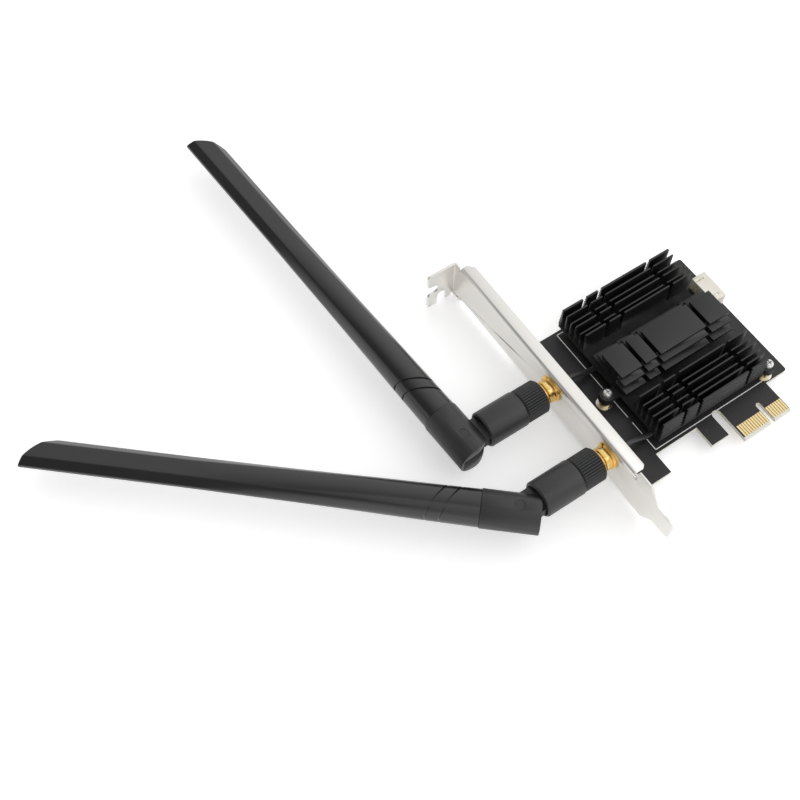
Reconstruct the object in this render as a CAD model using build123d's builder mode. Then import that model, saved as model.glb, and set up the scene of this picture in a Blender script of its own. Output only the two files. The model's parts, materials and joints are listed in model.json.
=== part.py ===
from build123d import *
import math
import os

os.makedirs("parts", exist_ok=True)

# The frame: X = 0 is the outer face of the bracket's plate, and the board lies on its +X side.
# Y = 0 is the underside of the bracket's foot, which seats on the computer's rear panel.
# Z = 0 is the board's top face, and the heat sink stands on it.

# Bracket: one folded sheet with a foot, a stiffening flange, two lugs under the board and a tab
sheet = 0.86
bend_radius = 1.2
bracket_length = 120.02
foot_depth = 11.43
foot_width = 18.42
foot_low = -5.2
foot_corner = 1.0
screw_slot_width = 4.42
screw_slot_reach = 4.6
screw_slot_z = 4.3
screw_slot_lip = 1.4
finger_cut_left = 7.3
finger_cut_right = 3.6
finger_cut_top = 0.7
finger_cut_round = 1.8
bend_relief_width = 1.1
bend_relief_height = 1.3
neck_start = 3.6
neck_run = 2.2
plate_low = -3.0
flange_start = 3.3
flange_width = 4.85
flange_top = 14.1
flange_corner_near = 2.2
flange_corner_far = 1.0
relief_depth = 1.9
relief_near = 1.2
relief_far = 1.5
flare_length = 8.0
wide_length = 6.3
wide_low = -4.2
wide_high = 17.3
taper_length = 4.7
tab_width = 10.2
tab_length = 7.56
tab_centre = 5.5
tab_corner = 2.4
lug_reach = 9.5
lug_width = 8.0
lug_hole_x = 5.4
lug_places = (-43.6, -97.6)
lug_screw_diameter = 2.9
lug_screw_head = 5.2
lug_screw_head_height = 1.7
lug_screw_tail = 0.9
lug_screw_bevel = 0.5
screw_clearance = 0.1

# Board, with the contact edge of a one-lane expansion slot
board_thickness = 1.6
board_gap = 0.34
board_end = 76.2
board_rear = -36.64
board_front = -93.54
board_corner = 1.0
left_tab_end = 17.1
left_tab_length = 8.0
latch_tab_start = 35.0
latch_tab_end = 42.4
latch_tab_length = 8.1
contact_edge_start = 45.8
contact_edge_end = 66.5
contact_edge_length = 12.8
contact_edge_bevel = 0.45
key_centre = 58.35
key_width = 1.9
key_depth = 8.6
contact_pitch = 1.0
contact_width = 0.7
contact_length = 4.6
contact_inset = 1.0
contact_thickness = 0.05
contacts_before_key = 11
contacts_after_key = 7
key_to_contact = 1.15

# Heat sink: a finned extrusion with three cross cuts, held by two screws on standoffs
sink_start = 19.3
sink_length = 47.4
sink_centre = -63.94
sink_half_width = 27.5
sink_base_bottom = 3.2
sink_base_thickness = 1.0
fin_tops = (14.4, 12.0, 13.3, 12.1, 13.3)
fin_thickness = 0.6
fin_pitch = 2.5
wall_top = 13.7
wall_inset = 0.7
wall_thickness = 0.8
wall_lean = 0.65
wall_ridges = 6
wall_ridge_depth = 0.35
wall_ridge_peak = 0.4
wall_ridge_foot = 0.8
block_top = 13.9
block_stem = 3.5
block_plates = ((5.4, 0.0), (7.45, 2.5), (9.2, 5.6))
block_plate_thickness = 1.2
cross_cut_width = 1.6
cross_cuts = (28.85, 35.45, 57.1)
ear_radius = 2.6
ear_height = 2.0
ear_places = ((14.85, -68.74), (68.2, -90.4))
ear_arm_width = 4.4
ear_pocket_gap = 0.6
fixing_screw_diameter = 1.9
fixing_head_diameter = 3.3
fixing_head_height = 1.7
fixing_thread_depth = 2.2
fixing_head_bevel = 0.35
standoff_radius = 2.1
standoff_stem_radius = 1.25

# Radio module under the heat sink
module_start = 25.0
module_length = 30.0
module_width = 22.0
module_thickness = 0.8
shield_margin = 0.8
shield_start = 31.5
shield_height = 1.5
shield_wall = 0.2
chip_size = 9.0
chip_height = 0.9
pad_margin = 1.0

# Antenna jacks on the plate
jack_z = 7.0
jack_first = -56.74
jack_pitch = 30.4
thread_radius = 3.175
jack_reach = 9.0
jack_shoulder_radius = 4.4
jack_shoulder = 2.0
jack_tail = 6.2
jack_tail_radius = 2.7
jack_bore_radius = 2.1
jack_mouth_radius = 2.35
jack_mouth_depth = 4.5
insulator_back = 4.6
jack_pin_radius = 0.46
jack_pin_inset = 0.8
washer_radius = 4.9
washer_thickness = 0.7
jack_nut_across_flats = 8.0
jack_nut_height = 2.4
jack_nut_bevel = 0.35
thread_clearance = 0.05

# Leads from the jacks to the module
lead_radius = 1.0
lead_z = 1.95
lead_drop_x = 10.0
lead_drop_run = 7.5
lead_bend = 3.0
lead_clearance = 0.05
lead_turn_x = 21.2
lead_turn_run = 2.2
rf_plug_length = 3.0
rf_plug_width = 2.6
rf_plug_edge = 1.2
rf_plug_side = 3.6
rf_plug_headroom = 0.2
rf_plug_round = 0.85

# Side-entry header at the board's far edge
header_pins_count = 5
header_pitch = 2.0
header_end_wall = 1.95
header_depth = 5.9
header_height = 5.8
header_wall = 0.75
header_back = 1.3
header_centre = -54.19
header_slot_inset = 2.0
header_slot_start = 0.4
header_slot_length = 3.4
header_slot_width = 0.6
header_pin_size = 0.5
header_pin_z = 2.9
header_pin_reach = 3.6
header_pin_tail = 1.1
header_pin_below = 1.0

# Small parts on the board under the heat sink
capacitor_length = 1.6
capacitor_width = 0.8
capacitor_height = 0.8
capacitor_start = (59.5, -72.0)
capacitor_pitch = 2.4
capacitors = 5
regulator_length = 3.0
regulator_width = 1.7
regulator_height = 1.1
regulator_place = (61.0, -48.0)

# Antenna: coupling nut on the jack, swivelling barrel, fold hinge and blade
insert_start = 3.9
insert_radius = 4.6
insert_back_wall = 1.8
knurl_start = 4.5
knurl_end = 13.3
knurl_radius = 6.15
knurl_depth = 0.3
knurl_count = 40
knurl_front_bevel = 0.7
knurl_lip_gap = 0.4
plug_nose_gap = 0.3
plug_nose_radius = 2.2
plug_flange_radius = 3.0
plug_flange_thickness = 0.7
plug_neck_radius = 2.5
plug_neck_clearance = 0.06
plug_end_gap = 0.2
plug_root_radius = 3.5
plug_root_length = 4.3
plug_bore_radius = 1.7
plug_contact_radius = 0.8
plug_contact_bore = 0.52
barrel_gap = 0.25
barrel_radius = 6.4
barrel_bevel = 0.6
barrel_recess_radius = 5.4
barrel_recess_depth = 1.8
tongue_radius = 4.8
tongue_thickness = 4.4
hinge_reach = 36.4
hinge_pin_radius = 1.25
hinge_pin_clearance = 0.05
hinge_gap = 0.15
hinge_side_gap = 0.3
hinge_head_radius = 1.75
hinge_head_height = 0.5
hinge_head_sink = 0.8
sleeve_radius = 6.5
sleeve_back = 7.2
sleeve_end = 12.0
sleeve_barrel_gap = 0.4
spigot_radius = 4.0
spigot_length = 4.8
spigot_clearance = 0.03
spigot_end_gap = 0.2
radome_root_radius = 6.25
radome_taper_end = 45.0
radome_taper_radius = 5.85
radome_flat_start = 108.0
radome_tip = 163.0
blade_half_width = 5.4
blade_half_thickness = 2.9
blade_edge = 0.7
blade_ridge = 1.2
blade_bevel = 1.3
tip_drop = 11.0
tip_bulge = 2.6
groove_places = (21.5, 26.2)
groove_width = 0.5
groove_depth = 0.35
groove_slant = 30.0
radiator_start = 9.0
radiator_end = 138.0
radiator_half_width = 3.0
radiator_thickness = 0.8
radiator_clearance = 0.2
antennas = ((1, 0, 86.7), (2, 1, 41.4))

# Heights and places that follow from the sizes above
tab_tip = sheet - bracket_length
foot_high = foot_low + foot_width
tab_start = tab_tip + tab_length
wide_end = tab_start + taper_length
wide_start = wide_end + wide_length
flange_end = wide_start + relief_far
flange_length = -flange_start - flange_end
tab_low = tab_centre - tab_width / 2
tab_high = tab_centre + tab_width / 2
board_start = sheet + board_gap
contact_tip = board_front - contact_edge_length
sink_base_top = sink_base_bottom + sink_base_thickness
wall_place = sink_half_width - wall_inset
ear_top = sink_base_top + ear_height
shield_top = module_thickness + shield_height
header_width = (header_pins_count - 1) * header_pitch + 2 * header_end_wall
mouth_floor = jack_reach - jack_mouth_depth
insert_bore = thread_radius + thread_clearance
plug_nose = mouth_floor + plug_nose_gap
plug_flange_start = jack_reach + plug_end_gap
plug_flange_end = plug_flange_start + plug_flange_thickness
insert_wall_start = plug_flange_end + plug_end_gap
insert_end = insert_wall_start + insert_back_wall
plug_root_start = insert_end + plug_end_gap
plug_end = plug_root_start + plug_root_length
barrel_start = knurl_end + barrel_gap
barrel_end = hinge_reach - sleeve_back - sleeve_barrel_gap


def export(piece, name):
    piece.part.label = name
    export_step(piece.part, f"parts/{name}.step")


def jack_frame(y):
    """Plane on a jack's axis, with x pointing out of the bracket."""
    return Plane(origin=(0, y, jack_z), x_dir=(-1, 0, 0), z_dir=(0, 0, 1))


def blade_frame(y, bend):
    """Plane at a fold hinge, with x along the blade and z along the hinge pin."""
    angle = math.radians(180 - bend)
    direction = (math.cos(angle), math.sin(angle), 0)
    return Plane(origin=(-hinge_reach, y, jack_z), x_dir=direction, z_dir=(0, 0, 1))


def across(frame, distance):
    """Plane square to a frame's x axis, at a distance along it."""
    origin = frame.from_local_coords(Vector(distance, 0, 0))
    return Plane(origin=origin, x_dir=frame.y_dir, z_dir=frame.x_dir)


def turned(frame, outline):
    """Solid of revolution about a frame's x axis, from points (along, radius)."""
    with BuildPart() as piece:
        with BuildSketch(frame):
            with BuildLine():
                Polyline(*outline, close=True)
            make_face()
        revolve(axis=Axis(frame.origin, frame.x_dir))
    return piece


def tube(frame, start, end, outer, inner):
    return turned(frame, [(start, inner), (start, outer), (end, outer), (end, inner)])


# Bracket
with BuildPart() as bracket:
    with BuildSketch(Plane.XY.offset(foot_low)) as fold:
        with BuildLine():
            Polyline(
                (-foot_depth, 0),
                (0, 0),
                (0, tab_tip),
                (sheet, tab_tip),
                (sheet, sheet),
                (-foot_depth, sheet),
                close=True,
            )
        make_face()
        outer_corner = fold.vertices().group_by(Axis.X)[-1].sort_by(Axis.Y)[-1]
        fillet(outer_corner, bend_radius)
        inner_corner = fold.vertices().sort_by_distance((0, 0, 0))[0]
        fillet(inner_corner, bend_radius - sheet)
    extrude(amount=wide_high - foot_low)
    with BuildSketch(Plane.YZ.offset(-foot_depth)) as plate_outline:
        with BuildLine():
            Polyline(
                (sheet, foot_low),
                (-neck_start, foot_low),
                (-neck_start - neck_run, plate_low),
                (wide_start + flare_length, plate_low),
                (wide_start, wide_low),
                (wide_end, wide_low),
                (tab_start, tab_low),
                (tab_tip, tab_low),
                (tab_tip, tab_high),
                (tab_start, tab_high),
                (wide_end, wide_high),
                (wide_start, wide_high),
                (wide_start, flange_top - relief_depth),
                (flange_end, flange_top - relief_depth),
                (flange_end, flange_top),
                (-flange_start, flange_top),
                (-flange_start, flange_top - relief_depth),
                (relief_near - flange_start, flange_top - relief_depth),
                (relief_near - flange_start, foot_high),
                (sheet, foot_high),
                close=True,
            )
        make_face()
        fillet(plate_outline.vertices().group_by(Axis.X)[0], tab_corner)
    extrude(amount=foot_depth + sheet, mode=Mode.INTERSECT)
    flange_plane = Plane((0, -flange_start - flange_length / 2, flange_top))
    with Locations(flange_plane):
        Box(flange_width, flange_length, sheet, align=(Align.MIN, Align.CENTER, Align.MAX))
    flange_ends = bracket.edges().filter_by(Axis.Z).group_by(Axis.X)[-1].sort_by(Axis.Y)
    chamfer(flange_ends[0], flange_corner_far)
    chamfer(flange_ends[-1], flange_corner_near)
    flange_edges = bracket.edges().filter_by(Axis.Y)
    near_top = (flange_top - sheet / 2, flange_top + sheet / 2)
    flange_edges = flange_edges.filter_by_position(Axis.Z, *near_top)
    fillet(flange_edges.sort_by(Axis.X)[0], bend_radius)
    for lug_y in lug_places:
        with Locations((0, lug_y, -board_thickness)):
            Box(lug_reach, lug_width, sheet, align=(Align.MIN, Align.CENTER, Align.MAX))
    with BuildSketch(Plane.XY):
        with Locations(*[(lug_hole_x, lug_y) for lug_y in lug_places]):
            Circle(lug_screw_diameter / 2 + screw_clearance / 2)
    extrude(amount=-2 * board_thickness - sheet, mode=Mode.SUBTRACT)
    with BuildSketch(Plane.YZ):
        with Locations((jack_first, jack_z), (jack_first - jack_pitch, jack_z)):
            Circle(thread_radius + thread_clearance)
    extrude(amount=sheet, mode=Mode.SUBTRACT)
    foot_edges = bracket.edges().filter_by(Axis.Y).group_by(Axis.X)[0]
    fillet(foot_edges, foot_corner)
    with BuildSketch(Plane.XZ) as foot_cuts:
        with Locations((-foot_depth, screw_slot_z)):
            SlotCenterToCenter(2 * screw_slot_reach - screw_slot_width, screw_slot_width)
        cut_width = finger_cut_left - finger_cut_right
        with Locations((-finger_cut_left, finger_cut_top)):
            RectangleRounded(
                cut_width,
                2 * (finger_cut_top - foot_low),
                finger_cut_round,
                align=(Align.MIN, Align.MAX),
            )
        with Locations((-bend_relief_width, foot_low)):
            Rectangle(bend_relief_width, 2 * bend_relief_height, align=(Align.MIN, Align.CENTER))
    extrude(amount=2 * sheet, both=True, mode=Mode.SUBTRACT)
    lips = bracket.edges().filter_by(Axis.Y).group_by(Axis.X)[0].sort_by(Axis.Z)
    fillet(lips[1:3], screw_slot_lip)
export(bracket, "bracket")

# Screws that hold the board down on the bracket's lugs
with BuildPart() as lug_screws:
    for lug_y in lug_places:
        with BuildSketch(Plane.XY):
            with Locations((lug_hole_x, lug_y)):
                Circle(lug_screw_head / 2)
        extrude(amount=lug_screw_head_height)
        with BuildSketch(Plane.XY):
            with Locations((lug_hole_x, lug_y)):
                Circle(lug_screw_diameter / 2)
        extrude(amount=-board_thickness - sheet - lug_screw_tail)
    rims = lug_screws.edges().filter_by(GeomType.CIRCLE).group_by(Axis.Z)[-1]
    chamfer(rims, lug_screw_bevel)
export(lug_screws, "lug_screws")

# Board
header_back_x = board_end - header_depth
first_pin = header_centre - (header_pins_count - 1) * header_pitch / 2
header_pin_y = [first_pin + i * header_pitch for i in range(header_pins_count)]
header_tail_x = header_back_x - header_pin_tail
with BuildPart() as board:
    with BuildSketch(Plane.XY.offset(-board_thickness)) as outline:
        with Locations((board_start, board_front)):
            Rectangle(
                board_end - board_start,
                board_rear - board_front,
                align=(Align.MIN, Align.MIN),
            )
        fillet(outline.vertices().group_by(Axis.X)[-1], board_corner)
        with Locations((board_start, board_front)):
            Rectangle(left_tab_end - board_start, left_tab_length, align=(Align.MIN, Align.MAX))
        with Locations((latch_tab_start, board_front)):
            Rectangle(latch_tab_end - latch_tab_start, latch_tab_length, align=(Align.MIN, Align.MAX))
        with Locations((contact_edge_start, board_front)):
            Rectangle(
                contact_edge_end - contact_edge_start,
                contact_edge_length,
                align=(Align.MIN, Align.MAX),
            )
        slot_width = contact_edge_start - latch_tab_end
        with Locations(((latch_tab_end + contact_edge_start) / 2, board_front)):
            Circle(slot_width / 2, mode=Mode.SUBTRACT)
        with Locations((key_centre, contact_tip)):
            SlotCenterToCenter(2 * key_depth - key_width, key_width, rotation=90, mode=Mode.SUBTRACT)
    extrude(amount=board_thickness)
    with BuildSketch(Plane.XY):
        with Locations(*[(lug_hole_x, lug_y) for lug_y in lug_places]):
            Circle(lug_screw_diameter / 2 + screw_clearance)
        with Locations(*ear_places):
            Circle(standoff_stem_radius)
        with Locations(*[(header_tail_x, y) for y in header_pin_y]):
            Rectangle(header_pin_size + screw_clearance, header_pin_size + screw_clearance)
    extrude(amount=-board_thickness, mode=Mode.SUBTRACT)
    tips = board.edges().filter_by(Axis.X).group_by(Axis.Y)[0]
    chamfer(tips, contact_edge_bevel)
export(board, "board")

# Gold contacts on both faces of the board's edge
before_key = key_centre - key_to_contact - contact_width / 2
first_contact = before_key - (contacts_before_key - 1) * contact_pitch
after_key = key_centre + key_to_contact + contact_width / 2
contact_x = [first_contact + i * contact_pitch for i in range(contacts_before_key)]
contact_x += [after_key + i * contact_pitch for i in range(contacts_after_key)]
contact_y = contact_tip + contact_inset
with BuildPart() as edge_contacts:
    for face, reach in ((0, contact_thickness), (-board_thickness, -contact_thickness)):
        with BuildSketch(Plane.XY.offset(face)):
            with Locations(*[(x, contact_y) for x in contact_x]):
                Rectangle(contact_width, contact_length, align=(Align.CENTER, Align.MIN))
        extrude(amount=reach)
export(edge_contacts, "edge_contacts")


def ridged_wall(side):
    """Outer wall of the heat sink's section, leaning out to its foot, with ridges along it."""
    inner = wall_place - wall_thickness / 2
    step = (wall_top - sink_base_top) / wall_ridges
    points = [(side * inner, sink_base_top), (side * inner, wall_top)]
    for ridge in range(wall_ridges):
        lean = wall_lean * (ridge + 1) / wall_ridges
        face = inner + wall_thickness + lean - wall_ridge_depth
        height = wall_top - ridge * step
        points += [(side * face, height)]
        points += [(side * (face + wall_ridge_depth), height - wall_ridge_peak * step)]
        points += [(side * face, height - wall_ridge_foot * step)]
    return points + [(side * sink_half_width, sink_base_top)]


# Heat sink
section_plane = Plane((sink_start, sink_centre, 0), x_dir=(0, 1, 0), z_dir=(1, 0, 0))
with BuildPart() as heat_sink:
    with BuildSketch(section_plane):
        with Locations((0, sink_base_bottom)):
            Rectangle(2 * sink_half_width, sink_base_thickness, align=(Align.CENTER, Align.MIN))
        for side in (-1, 1):
            for index, top in enumerate(reversed(fin_tops), start=1):
                with Locations((side * (wall_place - index * fin_pitch), sink_base_top)):
                    fin_height = top - sink_base_top
                    Rectangle(fin_thickness, fin_height, align=(Align.CENTER, Align.MIN))
            with BuildLine():
                Polyline(*ridged_wall(side), close=True)
            make_face()
        with Locations((0, sink_base_top)):
            Rectangle(2 * block_stem, block_top - sink_base_top, align=(Align.CENTER, Align.MIN))
        for half_width, drop in block_plates:
            with Locations((0, block_top - drop)):
                Rectangle(2 * half_width, block_plate_thickness, align=(Align.CENTER, Align.MAX))
    extrude(amount=sink_length)
    for cut_x in cross_cuts:
        with Locations((cut_x, sink_centre, sink_base_top)):
            Box(
                cross_cut_width,
                4 * sink_half_width,
                block_top,
                align=(Align.CENTER, Align.CENTER, Align.MIN),
                mode=Mode.SUBTRACT,
            )
    with BuildSketch(Plane.XY.offset(sink_base_top)):
        with Locations(*ear_places):
            Circle(ear_radius + ear_pocket_gap)
    extrude(amount=block_top, mode=Mode.SUBTRACT)
    with BuildSketch(Plane.XY.offset(sink_base_bottom)):
        with Locations(*ear_places):
            Circle(ear_radius)
    extrude(amount=sink_base_thickness + ear_height)
    left_ear = ear_places[0]
    with BuildSketch(Plane.XY.offset(sink_base_bottom)):
        with Locations(left_ear):
            Rectangle(sink_start - left_ear[0], ear_arm_width, align=(Align.MIN, Align.CENTER))
    extrude(amount=sink_base_thickness)
    with BuildSketch(Plane.XY.offset(sink_base_bottom)):
        with Locations(*ear_places):
            Circle(fixing_screw_diameter / 2 + screw_clearance)
    extrude(amount=sink_base_thickness + ear_height, mode=Mode.SUBTRACT)
export(heat_sink, "heat_sink")

# Standoffs in the board and the screws that hold the heat sink on them
with BuildPart() as heat_sink_standoffs:
    with BuildSketch(Plane.XY):
        with Locations(*ear_places):
            Circle(standoff_radius)
    extrude(amount=sink_base_bottom)
    with BuildSketch(Plane.XY):
        with Locations(*ear_places):
            Circle(standoff_stem_radius)
    extrude(amount=-board_thickness)
    with BuildSketch(Plane.XY.offset(sink_base_bottom)):
        with Locations(*ear_places):
            Circle(fixing_screw_diameter / 2)
    extrude(amount=-fixing_thread_depth - screw_clearance, mode=Mode.SUBTRACT)
export(heat_sink_standoffs, "heat_sink_standoffs")

with BuildPart() as heat_sink_screws:
    with BuildSketch(Plane.XY.offset(ear_top)):
        with Locations(*ear_places):
            Circle(fixing_head_diameter / 2)
    extrude(amount=fixing_head_height)
    with BuildSketch(Plane.XY.offset(ear_top)):
        with Locations(*ear_places):
            Circle(fixing_screw_diameter / 2)
    extrude(amount=-ear_height - sink_base_thickness - fixing_thread_depth)
    rims = heat_sink_screws.edges().filter_by(GeomType.CIRCLE).group_by(Axis.Z)[-1]
    chamfer(rims, fixing_head_bevel)
export(heat_sink_screws, "heat_sink_screws")

# Radio module, its shield, its chip and the pad that carries heat to the sink
module_low = sink_centre - module_width / 2
with BuildPart() as radio_module:
    with Locations((module_start, sink_centre, 0)):
        Box(
            module_length,
            module_width,
            module_thickness,
            align=(Align.MIN, Align.CENTER, Align.MIN),
        )
export(radio_module, "radio_module")

shield_length = module_start + module_length - shield_margin - shield_start
shield_width = module_width - 2 * shield_margin
shield_x = shield_start + shield_length / 2
with BuildPart() as radio_shield:
    with Locations((shield_x, sink_centre, module_thickness)):
        Box(
            shield_length,
            shield_width,
            shield_height,
            align=(Align.CENTER, Align.CENTER, Align.MIN),
        )
    open_face = radio_shield.faces().sort_by(Axis.Z)[0]
    offset(amount=-shield_wall, openings=open_face)
export(radio_shield, "radio_shield")

with BuildPart() as radio_chip:
    with Locations((shield_x, sink_centre, module_thickness)):
        Box(chip_size, chip_size, chip_height, align=(Align.CENTER, Align.CENTER, Align.MIN))
export(radio_chip, "radio_chip")

with BuildPart() as thermal_pad:
    with Locations((shield_x, sink_centre, shield_top)):
        Box(
            shield_length - 2 * pad_margin,
            shield_width - 2 * pad_margin,
            sink_base_bottom - shield_top,
            align=(Align.CENTER, Align.CENTER, Align.MIN),
        )
export(thermal_pad, "thermal_pad")

# Small parts under the heat sink
with BuildPart() as board_capacitors:
    for i in range(capacitors):
        with Locations((capacitor_start[0], capacitor_start[1] - i * capacitor_pitch, 0)):
            Box(
                capacitor_length,
                capacitor_width,
                capacitor_height,
                align=(Align.CENTER, Align.CENTER, Align.MIN),
            )
export(board_capacitors, "board_capacitors")

with BuildPart() as voltage_regulator:
    with Locations((*regulator_place, 0)):
        Box(
            regulator_length,
            regulator_width,
            regulator_height,
            align=(Align.CENTER, Align.CENTER, Align.MIN),
        )
export(voltage_regulator, "voltage_regulator")

# Header housing, open towards the board's far edge, and its bent pins
with BuildPart() as header_housing:
    with Locations((header_back_x, header_centre, 0)):
        Box(
            header_depth,
            header_width,
            header_height,
            align=(Align.MIN, Align.CENTER, Align.MIN),
        )
    with Locations((header_back_x + header_back, header_centre, header_wall)):
        Box(
            header_depth,
            header_width - 2 * header_wall,
            header_height - 2 * header_wall,
            align=(Align.MIN, Align.CENTER, Align.MIN),
            mode=Mode.SUBTRACT,
        )
    slot_side = header_width / 2 - header_slot_inset
    slot_x = header_back_x + header_slot_start
    for side in (-1, 1):
        with Locations((slot_x, header_centre + side * slot_side, header_height)):
            Box(
                header_slot_length,
                header_slot_width,
                2 * header_wall,
                align=(Align.MIN, Align.CENTER, Align.CENTER),
                mode=Mode.SUBTRACT,
            )
    for y in header_pin_y:
        with Locations((header_back_x, y, header_pin_z)):
            Box(
                header_back,
                header_pin_size + screw_clearance,
                header_pin_size + screw_clearance,
                align=(Align.MIN, Align.CENTER, Align.CENTER),
                mode=Mode.SUBTRACT,
            )
export(header_housing, "header_housing")

with BuildPart() as header_pins:
    for y in header_pin_y:
        pin_inner = header_tail_x - header_pin_size / 2
        pin_tip = header_back_x + header_back + header_pin_reach
        with Locations((pin_inner, y, header_pin_z)):
            Box(
                pin_tip - pin_inner,
                header_pin_size,
                header_pin_size,
                align=(Align.MIN, Align.CENTER, Align.CENTER),
            )
        with Locations((pin_inner, y, header_pin_z + header_pin_size / 2)):
            Box(
                header_pin_size,
                header_pin_size,
                header_pin_z + header_pin_size / 2 + board_thickness + header_pin_below,
                align=(Align.MIN, Align.CENTER, Align.MAX),
            )
export(header_pins, "header_pins")


def blade_section(frame, distance, half_width, half_thickness):
    """Eight-sided section of the blade's flat part."""
    with BuildSketch(across(frame, distance)) as section:
        with BuildLine():
            Polyline(*blade_corners(half_width, half_thickness), close=True)
        make_face()
    return section.sketch


def blade_corners(half_width, half_thickness):
    bevel = half_width - blade_bevel
    top = [(half_width, blade_edge), (blade_ridge, half_thickness)]
    top += [(-bevel, half_thickness), (-half_width, blade_edge)]
    return top + [(x, -z) for x, z in reversed(top)]


def round_section(frame, distance, radius):
    """Circle in eight arcs, each of which goes over into one side of the blade's section."""
    corners = blade_corners(blade_half_width, blade_half_thickness)
    angles = [math.degrees(math.atan2(z, x)) for x, z in corners]
    with BuildSketch(across(frame, distance)) as section:
        with BuildLine():
            for start, end in zip(angles, angles[1:] + angles[:1]):
                CenterArc((0, 0), radius, start, (end - start) % 360)
        make_face()
    return section.sketch


for number, place, bend in antennas:
    jack_y = jack_first - place * jack_pitch
    axis = jack_frame(jack_y)
    blade = blade_frame(jack_y, bend)

    # Jack through the plate, with its insulator, pin, washer and nut
    lead_bore = lead_radius + lead_clearance
    jack = turned(
        axis,
        [
            (-jack_tail, lead_bore),
            (-jack_tail, jack_tail_radius),
            (-sheet - jack_shoulder, jack_tail_radius),
            (-sheet - jack_shoulder, jack_shoulder_radius),
            (-sheet, jack_shoulder_radius),
            (-sheet, thread_radius),
            (jack_reach, thread_radius),
            (jack_reach, jack_mouth_radius),
            (mouth_floor, jack_mouth_radius),
            (mouth_floor, jack_bore_radius),
            (-insulator_back, jack_bore_radius),
            (-insulator_back, lead_bore),
        ],
    )
    export(jack, f"jack_{number}")
    jack_insulator = tube(axis, -insulator_back, mouth_floor, jack_bore_radius, jack_pin_radius)
    export(jack_insulator, f"jack_insulator_{number}")
    jack_pin = tube(axis, -insulator_back, jack_reach - jack_pin_inset, jack_pin_radius, 0)
    export(jack_pin, f"jack_pin_{number}")
    jack_washer = tube(axis, 0, washer_thickness, washer_radius, insert_bore)
    export(jack_washer, f"jack_washer_{number}")
    with BuildPart() as jack_nut:
        with BuildSketch(across(axis, washer_thickness)):
            RegularPolygon(jack_nut_across_flats / 2, 6, major_radius=False)
            Circle(insert_bore, mode=Mode.SUBTRACT)
        extrude(amount=jack_nut_height)
        with BuildSketch(across(axis, washer_thickness)):
            Circle(jack_nut_across_flats / math.sqrt(3) - jack_nut_bevel)
        extrude(amount=jack_nut_height, mode=Mode.INTERSECT)
    export(jack_nut, f"jack_nut_{number}")

    # Lead from the jack down to the board and under the heat sink, and its plug on the module
    plug_back = module_start + rf_plug_edge
    plug_y = jack_y if place == 0 else module_low + rf_plug_side
    route = [(insulator_back, jack_y, jack_z), (lead_drop_x, jack_y, jack_z)]
    route += [(lead_drop_x + lead_drop_run, jack_y, lead_z)]
    if place:
        route += [(lead_turn_x, jack_y, lead_z), (lead_turn_x + lead_turn_run, plug_y, lead_z)]
    route += [(plug_back, plug_y, lead_z)]
    with BuildPart() as rf_lead:
        with BuildLine() as lead_path:
            FilletPolyline(*route, radius=lead_bend)
        with BuildSketch(Plane(route[0], x_dir=(0, 1, 0), z_dir=(1, 0, 0))):
            Circle(lead_radius)
        sweep(path=lead_path.line)
    export(rf_lead, f"rf_lead_{number}")
    with BuildPart() as rf_plug:
        with Locations((plug_back, plug_y, module_thickness)):
            Box(
                rf_plug_length,
                rf_plug_width,
                sink_base_bottom - module_thickness - rf_plug_headroom,
                align=(Align.MIN, Align.CENTER, Align.MIN),
            )
        fillet(rf_plug.edges().filter_by(Axis.Z).group_by(Axis.X)[-1], rf_plug_round)
    export(rf_plug, f"rf_plug_{number}")

    # Coupling nut: a brass insert on the jack's thread in a knurled plastic grip
    neck_bore = plug_neck_radius + plug_neck_clearance
    coupling_insert = turned(
        axis,
        [
            (insert_start, insert_bore),
            (insert_start, insert_radius),
            (insert_end, insert_radius),
            (insert_end, neck_bore),
            (insert_wall_start, neck_bore),
            (insert_wall_start, insert_bore),
        ],
    )
    export(coupling_insert, f"coupling_insert_{number}")
    with BuildPart() as coupling_nut:
        with BuildSketch(across(axis, knurl_start)):
            Circle(knurl_radius)
            with PolarLocations(knurl_radius, knurl_count):
                Rectangle(2 * knurl_depth, 2 * knurl_depth, rotation=45, mode=Mode.SUBTRACT)
        extrude(amount=knurl_end - knurl_start)
        with BuildSketch(axis):
            with BuildLine():
                Polyline(
                    (knurl_start, insert_radius),
                    (knurl_start, knurl_radius - knurl_front_bevel),
                    (knurl_start + knurl_front_bevel, knurl_radius),
                    (knurl_end, knurl_radius),
                    (knurl_end, plug_root_radius + knurl_lip_gap),
                    (insert_end, plug_root_radius + knurl_lip_gap),
                    (insert_end, insert_radius),
                    close=True,
                )
            make_face()
        revolve(axis=Axis(axis.origin, axis.x_dir), mode=Mode.INTERSECT)
    export(coupling_nut, f"coupling_nut_{number}")

    # Plug that turns in the coupling nut, with its insulator and contact
    plug_body = turned(
        axis,
        [
            (plug_nose, plug_bore_radius),
            (plug_nose, plug_nose_radius),
            (plug_flange_start, plug_nose_radius),
            (plug_flange_start, plug_flange_radius),
            (plug_flange_end, plug_flange_radius),
            (plug_flange_end, plug_neck_radius),
            (plug_root_start, plug_neck_radius),
            (plug_root_start, plug_root_radius),
            (plug_end, plug_root_radius),
            (plug_end, plug_bore_radius),
        ],
    )
    export(plug_body, f"plug_body_{number}")
    plug_insulator = tube(axis, plug_nose, plug_end, plug_bore_radius, plug_contact_radius)
    export(plug_insulator, f"plug_insulator_{number}")
    plug_contact = tube(axis, plug_nose, plug_end, plug_contact_radius, plug_contact_bore)
    export(plug_contact, f"plug_contact_{number}")

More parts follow.
